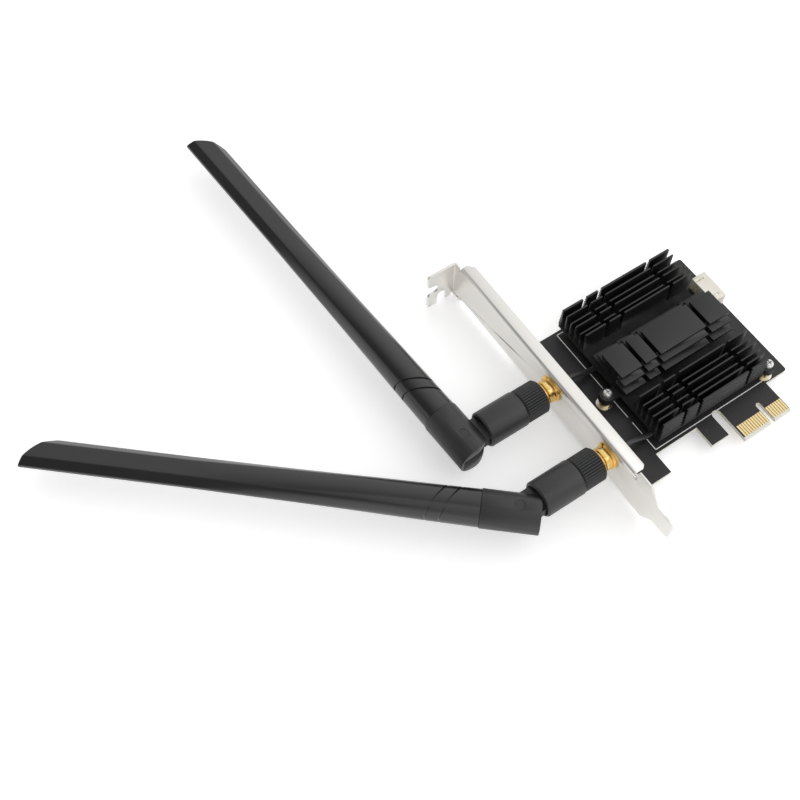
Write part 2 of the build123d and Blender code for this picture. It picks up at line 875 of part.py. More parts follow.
    # Barrel that turns with the plug and carries the hinge's tongue
    with BuildPart() as swivel_base:
        with BuildSketch(axis):
            with BuildLine():
                Polyline(
                    (barrel_start, plug_root_radius),
                    (barrel_start, barrel_radius - barrel_bevel / 2),
                    (barrel_start + barrel_bevel / 2, barrel_radius),
                    (barrel_end - barrel_bevel, barrel_radius),
                    (barrel_end, barrel_radius - barrel_bevel),
                    (barrel_end, barrel_recess_radius),
                    (barrel_end - barrel_recess_depth, barrel_recess_radius),
                    (barrel_end - barrel_recess_depth, 0),
                    (plug_end, 0),
                    (plug_end, plug_root_radius),
                    close=True,
                )
            make_face()
        revolve(axis=Axis(axis.origin, axis.x_dir))
        tongue_length = hinge_reach - barrel_end + barrel_recess_depth
        with BuildSketch(axis):
            with Locations((hinge_reach, 0)):
                Circle(tongue_radius)
                Rectangle(tongue_length, 2 * tongue_radius, align=(Align.MAX, Align.CENTER))
                Circle(hinge_pin_radius + hinge_pin_clearance, mode=Mode.SUBTRACT)
        extrude(amount=tongue_thickness / 2, both=True)
    export(swivel_base, f"swivel_base_{number}")

    # Sleeve at the blade's root: two ears on the tongue, open behind and on the folding side
    with BuildPart() as blade_sleeve:
        with BuildSketch(across(blade, -sleeve_back)):
            Circle(sleeve_radius)
        extrude(amount=sleeve_back + sleeve_end)
        slot_radius = tongue_radius + hinge_side_gap
        with BuildSketch(blade):
            Circle(slot_radius)
            with Locations((0, slot_radius)):
                Rectangle(2 * sleeve_back, 3 * sleeve_radius, align=(Align.MAX, Align.MAX))
            with Locations((slot_radius, 0)):
                Rectangle(2 * sleeve_back, 2 * sleeve_radius, align=(Align.MAX, Align.MAX))
        extrude(amount=tongue_thickness / 2 + hinge_gap, both=True, mode=Mode.SUBTRACT)
        with BuildSketch(blade):
            Rectangle(2 * sleeve_back, 2 * sleeve_radius, align=(Align.MAX, Align.MAX))
            Circle(sleeve_back, mode=Mode.SUBTRACT)
        extrude(amount=2 * sleeve_radius, both=True, mode=Mode.SUBTRACT)
        with BuildSketch(blade):
            Circle(hinge_pin_radius)
        extrude(amount=2 * sleeve_radius, both=True, mode=Mode.SUBTRACT)
        with BuildSketch(blade.offset(sleeve_radius - hinge_head_sink)):
            Circle(hinge_head_radius)
        extrude(amount=sleeve_radius, mode=Mode.SUBTRACT)
        with BuildSketch(across(blade, sleeve_end)):
            Circle(spigot_radius)
        extrude(amount=-spigot_length - spigot_end_gap, mode=Mode.SUBTRACT)
    export(blade_sleeve, f"blade_sleeve_{number}")

    with BuildPart() as hinge_pin:
        with BuildSketch(blade.offset(sleeve_radius - hinge_head_sink)):
            Circle(hinge_head_radius)
        extrude(amount=hinge_head_height)
        with BuildSketch(blade.offset(sleeve_radius - hinge_head_sink)):
            Circle(hinge_pin_radius)
        extrude(amount=-2 * sleeve_radius + 2 * hinge_head_sink)
    export(hinge_pin, f"hinge_pin_{number}")

    # Blade: round at the root, going over into a flat eight-sided section with a curved tip
    with BuildPart() as radome:
        taper = [(sleeve_end, 0), (sleeve_end, radome_root_radius)]
        taper += [(radome_taper_end, radome_taper_radius), (radome_taper_end, 0)]
        with BuildSketch(blade):
            with BuildLine():
                Polyline(*taper, close=True)
            make_face()
        revolve(axis=Axis(blade.origin, blade.x_dir))
        for groove_s in groove_places:
            groove_origin = blade.from_local_coords(Vector(groove_s, 0, 0))
            groove = Plane(groove_origin, x_dir=blade.x_dir, z_dir=blade.z_dir)
            with Locations(groove.rotated((0, 0, -groove_slant))):
                Box(groove_width, 4 * sleeve_radius, 4 * sleeve_radius, mode=Mode.SUBTRACT)
        with BuildSketch(across(blade, sleeve_end)):
            Circle(radome_taper_radius - groove_depth)
        extrude(amount=radome_taper_end - sleeve_end)
        start = round_section(blade, radome_taper_end, radome_taper_radius)
        flat = blade_section(blade, radome_flat_start, blade_half_width, blade_half_thickness)
        end = blade_section(blade, radome_tip, blade_half_width, blade_half_thickness)
        loft(sections=[start, flat, end], ruled=True)
        with BuildSketch(across(blade, sleeve_end)):
            Circle(spigot_radius - spigot_clearance)
        extrude(amount=-spigot_length)
        with BuildSketch(blade):
            with BuildLine():
                tip_arc = ThreePointArc(
                    (radome_tip, blade_half_width),
                    (radome_tip - tip_drop / 2 + tip_bulge, 0),
                    (radome_tip - tip_drop, -blade_half_width),
                )
                far = radome_tip + tip_drop
                Polyline(
                    tip_arc @ 1,
                    (radome_tip - tip_drop, -2 * blade_half_width),
                    (far, -2 * blade_half_width),
                    (far, blade_half_width),
                    tip_arc @ 0,
                )
            make_face()
        extrude(amount=sleeve_radius, both=True, mode=Mode.SUBTRACT)
        room = radiator_half_width + radiator_clearance
        pocket_end = radiator_end + radiator_clearance
        with BuildSketch(across(blade, sleeve_end - spigot_length)):
            Rectangle(2 * room, radiator_thickness + 2 * radiator_clearance)
        extrude(amount=pocket_end - sleeve_end + spigot_length, mode=Mode.SUBTRACT)
    export(radome, f"radome_{number}")

    with BuildPart() as radiator:
        with BuildSketch(across(blade, radiator_start)):
            Rectangle(2 * radiator_half_width, radiator_thickness)
        extrude(amount=radiator_end - radiator_start)
    export(radiator, f"radiator_{number}")
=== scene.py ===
import json
import math

import bmesh
import bpy
from bpy.props import FloatProperty, FloatVectorProperty, IntProperty, PointerProperty
from mathutils import Matrix, Vector


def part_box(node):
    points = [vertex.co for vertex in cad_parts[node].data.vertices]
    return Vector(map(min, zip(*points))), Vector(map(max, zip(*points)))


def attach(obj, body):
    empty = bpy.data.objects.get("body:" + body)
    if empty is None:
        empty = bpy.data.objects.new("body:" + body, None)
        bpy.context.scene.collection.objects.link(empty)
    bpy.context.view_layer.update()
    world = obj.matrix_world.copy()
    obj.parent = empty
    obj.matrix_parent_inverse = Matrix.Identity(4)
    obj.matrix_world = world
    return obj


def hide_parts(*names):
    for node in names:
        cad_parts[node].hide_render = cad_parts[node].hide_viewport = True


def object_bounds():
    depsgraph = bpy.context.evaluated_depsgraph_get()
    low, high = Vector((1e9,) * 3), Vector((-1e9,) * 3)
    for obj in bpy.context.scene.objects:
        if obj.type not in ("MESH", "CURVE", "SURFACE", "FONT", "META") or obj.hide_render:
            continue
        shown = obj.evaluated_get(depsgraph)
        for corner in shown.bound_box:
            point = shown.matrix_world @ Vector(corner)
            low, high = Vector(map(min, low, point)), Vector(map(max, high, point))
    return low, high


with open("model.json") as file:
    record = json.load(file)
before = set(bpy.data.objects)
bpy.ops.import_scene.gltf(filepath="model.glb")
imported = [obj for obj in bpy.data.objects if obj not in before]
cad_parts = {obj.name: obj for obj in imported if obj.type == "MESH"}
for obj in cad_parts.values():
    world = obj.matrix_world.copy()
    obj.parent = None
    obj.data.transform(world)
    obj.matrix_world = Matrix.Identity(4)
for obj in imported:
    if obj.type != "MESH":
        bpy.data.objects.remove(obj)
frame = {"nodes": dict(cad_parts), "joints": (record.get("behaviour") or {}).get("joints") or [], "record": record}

bl_info = {
    "name": "Wireless network card",
    "version": (1, 0, 0),
    "blender": (4, 5, 0),
    "location": "View3D > Sidebar > Card",
    "description": "Finishes and fine parts of an expansion card with two folding antennas",
    "category": "Object",
}

CAD_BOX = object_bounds()
NODES = frame["nodes"]
NODE_BODY = {node: body for body, nodes in frame["record"]["behaviour"]["bodies"].items() for node in nodes}
HINGES = {j["name"][-1]: Vector(j["pos_m"]) for j in frame["joints"] if j["name"].startswith("fold")}
ANTENNAS = sorted(HINGES)
MM = 0.001
UP = Vector((0, 0, 1))
OUTWARD = Vector((-1, 0, 0))


def colour_property(name, description, default):
    return FloatVectorProperty(
        name=name, description=description, subtype="COLOR", size=3, min=0, max=1, default=default
    )


def length_property(name, description, millimetres):
    return FloatProperty(
        name=name, description=description, unit="LENGTH", precision=5, min=0, default=millimetres * MM
    )


class CardFinishes(bpy.types.PropertyGroup):
    nickel: colour_property("Nickel", "Plating of the bracket", (0.78, 0.76, 0.725))
    gold: colour_property("Gold", "Plating of the jacks and antenna plugs", (0.86, 0.60, 0.22))
    contact_gold: colour_property("Contact gold", "Plating of the edge contacts", (0.80, 0.64, 0.34))
    brass: colour_property("Brass", "Standoffs, header pins and lead plugs", (0.78, 0.64, 0.36))
    steel: colour_property("Steel", "Plated screws", (0.70, 0.69, 0.67))
    tin: colour_property("Tin", "Shield can and tinned rings", (0.72, 0.70, 0.66))
    anodised: colour_property("Anodised black", "Heat sink", (0.010, 0.010, 0.011))
    solder_mask: colour_property("Solder mask", "Board faces", (0.012, 0.012, 0.013))
    laminate: colour_property("Laminate", "Cut edges of the board", (0.86, 0.84, 0.76))
    resin: colour_property("Resin", "Bare board between the contacts", (0.34, 0.22, 0.07))
    silk: colour_property("Silk print", "Lines printed on the board", (0.94, 0.94, 0.92))
    moulded: colour_property("Moulded black", "Antenna barrel and sleeve", (0.019, 0.019, 0.020))
    radome: colour_property("Radome black", "Antenna blade", (0.007, 0.007, 0.0075))
    jacket: colour_property("Cable jacket", "Leads from the jacks", (0.03, 0.03, 0.031))
    ivory: colour_property("Ivory nylon", "Header housing", (0.94, 0.90, 0.80))
    white_insert: colour_property("White insulator", "Insulators of jacks and plugs", (0.82, 0.82, 0.79))
    epoxy: colour_property("Black epoxy", "Chip packages", (0.02, 0.02, 0.021))
    pad: colour_property("Thermal pad", "Pad under the heat sink", (0.36, 0.44, 0.52))
    ceramic: colour_property("Ceramic", "Small capacitors", (0.40, 0.29, 0.18))
    copper: colour_property("Copper", "Radiator strip", (0.60, 0.30, 0.16))


class CardSizes(bpy.types.PropertyGroup):
    sheet_round: length_property("Sheet edge", "Rounding on the bracket's edges", 0.12)
    fin_round: length_property("Fin edge", "Rounding on the heat sink's edges", 0.11)
    wall_top: length_property("Wall top", "Height of the heat sink's outer walls", 13.7)
    wall_foot: length_property("Wall foot", "Height where the outer walls start", 4.2)
    wall_face: length_property("Wall face", "From the heat sink's middle to the walls' ridges", 27.2)
    wall_ridges: IntProperty(name="Wall ridges", description="Ridges on an outer wall", default=6)
    trough_low: length_property("Trough floor", "Height of the dull floor between the fins", 4.4)
    trough_high: length_property("Trough edge", "Height where the fins are bright again", 9.0)
    plastic_round: length_property("Plastic edge", "Rounding on moulded edges", 0.16)
    header_round: length_property("Header edge", "Rounding on the header's edges", 0.12)
    nut_round: length_property("Nut edge", "Rounding on the hex nuts", 0.07)
    blade_flat_start: length_property("Flat start", "Distance from hinge to the flat part", 108.0)
    blade_taper_end: length_property("Taper end", "Distance from hinge to the taper's end", 45.0)
    blade_root: length_property("Blade root", "Distance from hinge to the sleeve's seam", 12.0)
    blade_root_radius: length_property("Root radius", "Radius of the blade at the seam", 6.25)
    blade_taper_radius: length_property("Taper radius", "Radius at the taper's end", 5.85)
    blade_tip: length_property("Tip", "Distance from hinge to the blade's tip", 163.0)
    blade_half_width: length_property("Half width", "Half of the flat part's width", 5.4)
    blade_half_thickness: length_property("Half thickness", "Half of the flat part's thickness", 2.9)
    blade_edge: length_property("Edge", "Half height of the blade's narrow edges", 0.7)
    blade_ridge: length_property("Ridge", "Place of the ridge across the blade", 2.6)
    blade_bevel: length_property("Bevel", "Width of the blade's bevel", 2.4)
    blade_corner: length_property("Corner", "Rounding on the blade's long edges", 0.3)
    tip_drop: length_property("Tip drop", "How far the tip's shoulder lies back", 11.0)
    tip_bulge: length_property("Tip bulge", "How far the tip's curve stands out", 2.6)
    spigot_radius: length_property("Spigot", "Radius of the spigot in the sleeve", 3.97)
    spigot_length: length_property("Spigot length", "Length of the spigot in the sleeve", 4.8)
    groove_width: length_property("Groove width", "Width of the slanted grooves", 0.8)
    groove_depth: length_property("Groove depth", "Depth of the slanted grooves", 0.6)
    groove_first: length_property("First groove", "Distance from hinge to the first groove", 21.5)
    groove_second: length_property("Second groove", "Distance from hinge to the second groove", 26.2)
    groove_slant: FloatProperty(
        name="Groove slant", description="Slant of the grooves", subtype="ANGLE", default=math.radians(30)
    )
    side_points: IntProperty(name="Side points", description="Points along each side of the blade", default=7)
    flutes: IntProperty(name="Flutes", description="Flutes round a coupling nut", default=40)
    flute_depth: length_property("Flute depth", "Depth of the coupling nut's flutes", 0.45)
    nut_bevel: length_property("Nut bevel", "Bevel at the front of a coupling nut", 0.7)
    thread_pitch: length_property("Thread pitch", "Pitch of the thread on a jack", 0.7)
    thread_depth: length_property("Thread depth", "Depth of the thread on a jack", 0.32)
    thread_radius: length_property("Thread radius", "Outer radius of the thread on a jack", 3.175)
    shoulder: length_property("Shoulder", "Thickness of a jack's shoulder", 2.0)
    tail_radius: length_property("Tail radius", "Radius of a jack's tail", 2.7)
    sheet: length_property("Sheet", "Thickness of the bracket's sheet", 0.86)
    mouth_radius: length_property("Mouth radius", "Radius of a jack's mouth", 2.35)
    mouth_depth: length_property("Mouth depth", "Depth of a jack's mouth", 4.5)
    turned_edge: length_property("Turned edge", "Bevel on the jacks and washers", 0.2)
    small_head: length_property("Small head", "Radius of the heat sink's screw heads", 1.65)
    small_shank: length_property("Small shank", "Radius of the heat sink's screws", 0.95)
    large_head: length_property("Large head", "Radius of the lug screws' heads", 2.6)
    large_shank: length_property("Large shank", "Radius of the lug screws", 1.45)
    head_height: length_property("Head height", "Height of the screw heads", 1.7)
    lead_radius: length_property("Lead radius", "Half of the lead's diameter", 1.0)
    lead_drop: length_property("Lead drop", "Where the leads start to drop", 10.0)
    lead_land: length_property("Lead landing", "Where the leads reach the board", 17.5)
    lead_turn: length_property("Lead turn", "Where the second lead turns", 21.2)
    lead_turn_end: length_property("Lead turn end", "Where the second lead has turned", 23.4)
    silk_left: length_property("Silk left", "Place of the printed frame's left side", 18.15)
    silk_right: length_property("Silk right", "Place of the printed frame's right end", 66.0)
    silk_margin: length_property("Silk margin", "Printed frame to the board's long edges", 1.25)
    silk_gap_place: length_property("Silk gap", "From the frame's front to the gap in its left side", 12.4)
    silk_gap: length_property("Silk gap length", "Length of the gap in the printed frame", 2.3)
    silk_width: length_property("Silk width", "Width of the printed lines", 0.3)
    silk_height: length_property("Silk height", "Height of the printed lines", 0.02)
    contact_tongue: length_property("Contact tongue", "How far the contact edge stands out", 12.8)
    standoff_radius: length_property("Standoff radius", "Radius of the heat sink's standoffs", 2.1)
    pad_ring: length_property("Pad ring", "Radius of the tinned ring at a standoff", 2.85)
    pad_height: length_property("Pad height", "Height of the tinned ring", 0.09)


def number_property(name, description, value, **kind):
    return FloatProperty(name=name, description=description, default=value, **kind)


def place_property(name, description, place, subtype="TRANSLATION"):
    return FloatVectorProperty(name=name, description=description, subtype=subtype, default=place)


class CardStage(bpy.types.PropertyGroup):
    camera_place: place_property("Camera", "Camera's place", (-0.14881, -0.18771, 0.34475))
    azimuth: number_property("Azimuth", "View direction", math.radians(-33.73), subtype="ANGLE")
    elevation: number_property("Elevation", "View height", math.radians(61.0), subtype="ANGLE")
    lens: number_property("Lens", "Focal length on a 36 mm sensor", 51.61, unit="CAMERA")
    floor: colour_property("Floor", "Plain pale floor", (0.90, 0.90, 0.90))
    floor_glow: number_property("Floor glow", "White that the camera sees in the floor", 0.42)
    bright_side: place_property(
        "Bright side", "Where the studio is brightest", (0.80, 0.20, 0.56), subtype="DIRECTION"
    )
    dim_light: number_property("Dim light", "Soft light on the studio's dim side", 0.24)
    bright_light: number_property("Bright light", "Soft light on its bright side", 1.12)
    key_power: number_property("Key light", "Large softbox", 2.2, unit="POWER")
    key_size: number_property("Key size", "Width of the softbox", 1.2, unit="LENGTH")
    key_offset: place_property("Key place", "Softbox from the card", (0.80, -0.55, 0.58))
    fill_power: number_property("Fill light", "Softbox at the front", 3.0, unit="POWER")
    fill_offset: place_property("Fill place", "Front softbox from the card", (-0.2, -0.8, 0.75))


def sizes():
    return bpy.context.scene.card_sizes


def finishes():
    return bpy.context.scene.card_finishes


# Shader nodes

def put(tree, kind, inputs=None, **settings):
    """Adds a node, with its settings, and its inputs as values or as links from sockets."""
    made = tree.nodes.new(kind)
    for name, value in settings.items():
        setattr(made, name, value)
    for name, value in (inputs or {}).items():
        if isinstance(value, bpy.types.NodeSocket):
            tree.links.new(value, made.inputs[name])
        else:
            made.inputs[name].default_value = value
    return made


def math_node(tree, operation, first, second=0.0, clamp=False):
    return put(tree, "ShaderNodeMath", {0: first, 1: second}, operation=operation, use_clamp=clamp).outputs[0]


def mix_colour(tree, factor, first, second):
    made = put(tree, "ShaderNodeMix", {0: factor, 6: first, 7: second}, data_type="RGBA", blend_type="MIX")
    return made.outputs[2]


def remap(tree, value, low, high, new_low, new_high):
    inputs = {"Value": value, 1: low, 2: high, 3: new_low, 4: new_high}
    return put(tree, "ShaderNodeMapRange", inputs).outputs["Result"]


def effect(name, inputs, outputs):
    """Starts a shader node group. inputs maps names to (kind, default), outputs maps names to kinds."""
    group = bpy.data.node_groups.new(name, "ShaderNodeTree")
    for label, (kind, default) in inputs.items():
        socket = group.interface.new_socket(label, in_out="INPUT", socket_type=kind)
        socket.default_value = default
    for label, kind in outputs.items():
        group.interface.new_socket(label, in_out="OUTPUT", socket_type=kind)
    return group, group.nodes.new("NodeGroupInput").outputs, group.nodes.new("NodeGroupOutput").inputs


FLOAT = "NodeSocketFloat"
COLOUR = "NodeSocketColor"
VECTOR = "NodeSocketVector"
SKIN = {"Color": COLOUR, "Roughness": FLOAT, "Height": FLOAT}

# Share of the fine noise in a finish, and the scale of the coarse one under drawn lines
GRAIN_SHARE = 0.45
LINE_SHARE = 0.6
CLOUD_SCALE = 90.0

# Cosines of the bend where the edge mask starts and is full (wear, and a painted highlight on the heat sink), and
# the noise that breaks it up
EDGE_BEND = (0.97, 0.75)
EDGE_SAMPLES = 4
EDGE_SPOTS = (0.35, 0.65)
EDGE_LEAST = 0.35

# Rim of a speck, the cells that have none, and what is left of it on upright faces
SPECK_RIM = (0.05, 0.11)
SPECK_CHOICE = 0.86
SPECKS_ON_SIDES = 0.15


def noise(tree, place, scale, detail, roughness=0.5):
    inputs = {"Vector": place, "Scale": scale, "Detail": detail, "Roughness": roughness}
    return put(tree, "ShaderNodeTexNoise", inputs).outputs["Fac"]


def vector_math(tree, operation, inputs):
    return put(tree, "ShaderNodeVectorMath", inputs, operation=operation).outputs


def vary_skin(group, given, out, fine, coarse, share):
    """Varies colour and roughness by a fine and a coarse noise; the fine one is also the height."""
    weighed = math_node(group, "MULTIPLY", fine, share)
    both = math_node(group, "ADD", weighed, math_node(group, "MULTIPLY", coarse, 1 - share))
    centred = math_node(group, "SUBTRACT", both, 0.5)
    shade = math_node(group, "ADD", 1.0, math_node(group, "MULTIPLY", centred, given["Spread"]))
    toned = vector_math(group, "SCALE", {0: given["Color"], "Scale": shade})[0]
    group.links.new(toned, out["Color"])
    change = math_node(group, "MULTIPLY", centred, given["Vary"])
    group.links.new(math_node(group, "ADD", given["Roughness"], change), out["Roughness"])
    group.links.new(fine, out["Height"])


def grain_effect():
    """Fine spark-eroded grain of moulded plastic, with cloudy patches."""
    inputs = {"Color": (COLOUR, (0.02, 0.02, 0.02, 1)), "Grain": (FLOAT, 3200.0), "Patch": (FLOAT, 160.0),
              "Spread": (FLOAT, 0.35), "Roughness": (FLOAT, 0.5), "Vary": (FLOAT, 0.12)}
    group, given, out = effect("moulded_grain", inputs, SKIN)
    place = put(group, "ShaderNodeTexCoord").outputs["Object"]
    grain = noise(group, place, given["Grain"], detail=3.0, roughness=0.6)
    patch = noise(group, place, given["Patch"], detail=4.0, roughness=0.55)
    vary_skin(group, given, out, grain, patch, GRAIN_SHARE)
    return group


def drawn_effect():
    """Long fine lines left by rolling or extruding, along one axis of the part."""
    inputs = {"Stretch": (VECTOR, (3000.0, 30.0, 3000.0)), "Color": (COLOUR, (0.7, 0.7, 0.7, 1)),
              "Spread": (FLOAT, 0.12), "Roughness": (FLOAT, 0.2), "Vary": (FLOAT, 0.1)}
    group, given, out = effect("drawn_lines", inputs, SKIN)
    place = put(group, "ShaderNodeTexCoord").outputs["Object"]
    scaled = vector_math(group, "MULTIPLY", {0: place, 1: given["Stretch"]})[0]
    lines = noise(group, scaled, 1.0, detail=5.0, roughness=0.65)
    cloud = noise(group, place, CLOUD_SCALE, detail=3.0)
    vary_skin(group, given, out, lines, cloud, LINE_SHARE)
    return group


def edge_effect():
    """Mask of convex edges, where handling wears a finish and where the heat sink's edges get a painted highlight,
    broken up by noise.
    """
    inputs = {"Radius": (FLOAT, 0.0002), "Amount": (FLOAT, 0.6), "Break": (FLOAT, 900.0)}
    group, given, out = effect("worn_edges", inputs, {"Mask": FLOAT})
    bevel = put(group, "ShaderNodeBevel", {"Radius": given["Radius"]}, samples=EDGE_SAMPLES)
    rounded = bevel.outputs["Normal"]
    straight = put(group, "ShaderNodeNewGeometry").outputs["Normal"]
    along = vector_math(group, "DOT_PRODUCT", {0: rounded, 1: straight})["Value"]
    edge = remap(group, along, *EDGE_BEND, 0.0, 1.0)
    place = put(group, "ShaderNodeTexCoord").outputs["Object"]
    spots = noise(group, place, given["Break"], detail=3.0)
    broken = math_node(group, "MULTIPLY", edge, remap(group, spots, *EDGE_SPOTS, EDGE_LEAST, 1.0))
    group.links.new(math_node(group, "MULTIPLY", broken, given["Amount"], clamp=True), out["Mask"])
    return group


def dust_effect():
    """Sparse pale specks of dust, more of them on faces that look up."""
    inputs = {"Density": (FLOAT, 700.0), "Amount": (FLOAT, 0.5)}
    group, given, out = effect("dust_specks", inputs, {"Mask": FLOAT})
    place = put(group, "ShaderNodeTexCoord").outputs["Object"]
    cells = put(group, "ShaderNodeTexVoronoi", {"Vector": place, "Scale": given["Density"]}, feature="F1")
    dot = remap(group, cells.outputs["Distance"], *SPECK_RIM, 1.0, 0.0)
    split = put(group, "ShaderNodeSeparateColor", {"Color": cells.outputs["Color"]}).outputs[0]
    chosen = math_node(group, "GREATER_THAN", split, SPECK_CHOICE)
    facing = put(group, "ShaderNodeSeparateXYZ", {0: put(group, "ShaderNodeNewGeometry").outputs["Normal"]})
    upward = math_node(group, "MAXIMUM", facing.outputs["Z"], SPECKS_ON_SIDES)
    mask = math_node(group, "MULTIPLY", math_node(group, "MULTIPLY", dot, chosen), upward)
    group.links.new(math_node(group, "MULTIPLY", mask, given["Amount"], clamp=True), out["Mask"])
    return group


EFFECTS = {
    "moulded_grain": grain_effect,
    "drawn_lines": drawn_effect,
    "worn_edges": edge_effect,
    "dust_specks": dust_effect,
}


def effect_node(tree, name, inputs):
    """Places a shared effect in a material, building its group the first time."""
    group = bpy.data.node_groups.get(name) or EFFECTS[name]()
    made = tree.nodes.new("ShaderNodeGroup")
    made.node_tree = group
    for label, value in inputs.items():
        made.inputs[label].default_value = value
    return made.outputs


def opaque(colour):
    return (*colour, 1.0)


def begin(name):
    """New material with its node tree and shader, or None for the tree if it is there already."""
    material = bpy.data.materials.get(name)
    if material:
        return material, None, None
    material = bpy.data.materials.new(name)
    material.use_nodes = True
    return material, material.node_tree, material.node_tree.nodes["Principled BSDF"]


def bump(tree, shader, height, strength, distance):
    inputs = {"Height": height, "Strength": strength, "Distance": distance}
    tree.links.new(put(tree, "ShaderNodeBump", inputs).outputs["Normal"], shader.inputs["Normal"])


PLASTIC_LOOK = {"spread": 0.5, "wear": 0.35, "specular": 0.5, "dust": 0.35}
PLASTICS = {
    "moulded_black": {"colour": "moulded", "roughness": 0.44, "grain": 3000.0, "depth": 0.00005,
                      "spread": 0.6, "wear": 0.30, "specular": 0.6},
    "radome_black": {"colour": "radome", "roughness": 0.23, "grain": 5200.0, "depth": 0.000004,
                     "wear": 0.15, "specular": 0.75},
    "knurl_black": {"colour": "moulded", "roughness": 0.38, "grain": 4200.0, "depth": 0.00001},
    "jacket_black": {"colour": "jacket", "roughness": 0.42, "grain": 2600.0, "depth": 0.00002, "wear": 0.2},
    "ivory_nylon": {"colour": "ivory", "roughness": 0.48, "grain": 1800.0, "depth": 0.000012,
                    "spread": 0.12, "wear": 0.15, "specular": 0.45, "dust": 0.15},
    "silk_print": {"colour": "silk", "roughness": 0.62, "grain": 5200.0, "depth": 0.00001,
                   "spread": 0.35, "wear": 0.0, "specular": 0.3, "dust": 0.0},
    "white_insulator": {"colour": "white_insert", "roughness": 0.5, "grain": 1500.0, "depth": 0.00001,
                        "spread": 0.1, "wear": 0.1},
    "epoxy_black": {"colour": "epoxy", "roughness": 0.55, "grain": 2800.0, "depth": 0.00002, "wear": 0.2},
    "soft_pad": {"colour": "pad", "roughness": 0.7, "grain": 900.0, "depth": 0.00004,
                 "spread": 0.25, "wear": 0.0},
    "brown_ceramic": {"colour": "ceramic", "roughness": 0.5, "grain": 1500.0, "depth": 0.00001,
                      "spread": 0.3, "wear": 0.2},
}
METALS = {
    "nickel_sheet": {"colour": "nickel", "roughness": 0.30, "stretch": (2600.0, 26.0, 2600.0),
                     "spread": 0.10, "vary": 0.12, "wear": 0.25},
    "gold_plate": {"colour": "gold", "roughness": 0.12, "stretch": (5200.0, 160.0, 160.0),
                   "spread": 0.30, "vary": 0.16, "wear": 0.4},
    "contact_plate": {"colour": "contact_gold", "roughness": 0.24, "stretch": (2400.0, 40.0, 2400.0),
                      "spread": 0.16, "vary": 0.14, "wear": 0.2},
    "turned_brass": {"colour": "brass", "roughness": 0.26, "stretch": (60.0, 60.0, 4200.0),
                     "spread": 0.25, "vary": 0.15, "wear": 0.3},
    "screw_steel": {"colour": "steel", "roughness": 0.24, "stretch": (700.0, 700.0, 3000.0),
                    "spread": 0.22, "vary": 0.16, "wear": 0.4},
    "tinned": {"colour": "tin", "roughness": 0.28, "stretch": (1400.0, 1400.0, 1400.0),
               "spread": 0.20, "vary": 0.18, "wear": 0.2},
    "copper_strip": {"colour": "copper", "roughness": 0.35, "stretch": (40.0, 900.0, 900.0),
                     "spread": 0.2, "vary": 0.15, "wear": 0.0},
}
PLASTIC_DUST = (0.32, 0.31, 0.29, 1.0)
SINK_DUST = (0.34, 0.33, 0.31, 1.0)
BOARD_DUST = (0.30, 0.30, 0.28, 1.0)
# Grey of the painted highlight on the heat sink's edges
EDGE_HIGHLIGHT = (0.15, 0.15, 0.152, 1.0)
GRAIN_BUMP = 0.5
METAL_BUMP, METAL_DEPTH = 0.25, 0.000004
SINK_BUMP, SINK_DEPTH = 0.35, 0.000012
BOARD_BUMP, BOARD_DEPTH = 0.3, 0.00001
METAL_EDGE = 0.00015
WORN_GLOSS = 0.12
WORN_PLASTIC, WORN_LIFT = 2.2, 0.03
WORN_METAL = 1.15
TROUGH_DULL = 0.45
FLAT_FACE = 0.9
WEAVE_SHARE = 0.6


def plastic(name):
    """Moulded plastic with grain, a trace of wear on its edges and a little dust."""
    material, tree, shader = begin(name)
    if tree is None:
        return material
    look = {**PLASTIC_LOOK, **PLASTICS[name]}
    colour = getattr(finishes(), look["colour"])
    inputs = {"Color": opaque(colour), "Grain": look["grain"], "Spread": look["spread"],
              "Roughness": look["roughness"]}
    skin = effect_node(tree, "moulded_grain", inputs)
    edge_mask = effect_node(tree, "worn_edges", {"Amount": look["wear"]})["Mask"]
    specks = effect_node(tree, "dust_specks", {"Amount": look["dust"]})["Mask"]
    pale = tuple(min(1.0, c * WORN_PLASTIC + WORN_LIFT) for c in colour)
    edge_lightened = mix_colour(tree, edge_mask, skin["Color"], opaque(pale))
    tree.links.new(mix_colour(tree, specks, edge_lightened, PLASTIC_DUST), shader.inputs["Base Color"])
    gloss = math_node(tree, "MULTIPLY", edge_mask, WORN_GLOSS)
    tree.links.new(math_node(tree, "SUBTRACT", skin["Roughness"], gloss), shader.inputs["Roughness"])
    shader.inputs["Specular IOR Level"].default_value = look["specular"]
    bump(tree, shader, skin["Height"], GRAIN_BUMP, look["depth"])
    return material


def metal(name):
    """Bright metal with drawn lines and a slightly cloudy polish."""
    material, tree, shader = begin(name)
    if tree is None:
        return material
    look = METALS[name]
    colour = getattr(finishes(), look["colour"])
    inputs = {"Color": opaque(colour), "Stretch": look["stretch"], "Spread": look["spread"],
              "Roughness": look["roughness"], "Vary": look["vary"]}
    skin = effect_node(tree, "drawn_lines", inputs)
    edge_mask = effect_node(tree, "worn_edges", {"Amount": look["wear"], "Radius": METAL_EDGE})["Mask"]
    pale = tuple(min(1.0, c * WORN_METAL) for c in colour)
    tree.links.new(mix_colour(tree, edge_mask, skin["Color"], opaque(pale)), shader.inputs["Base Color"])
    tree.links.new(skin["Roughness"], shader.inputs["Roughness"])
    shader.inputs["Metallic"].default_value = 1.0
    bump(tree, shader, skin["Height"], METAL_BUMP, METAL_DEPTH)
    return material


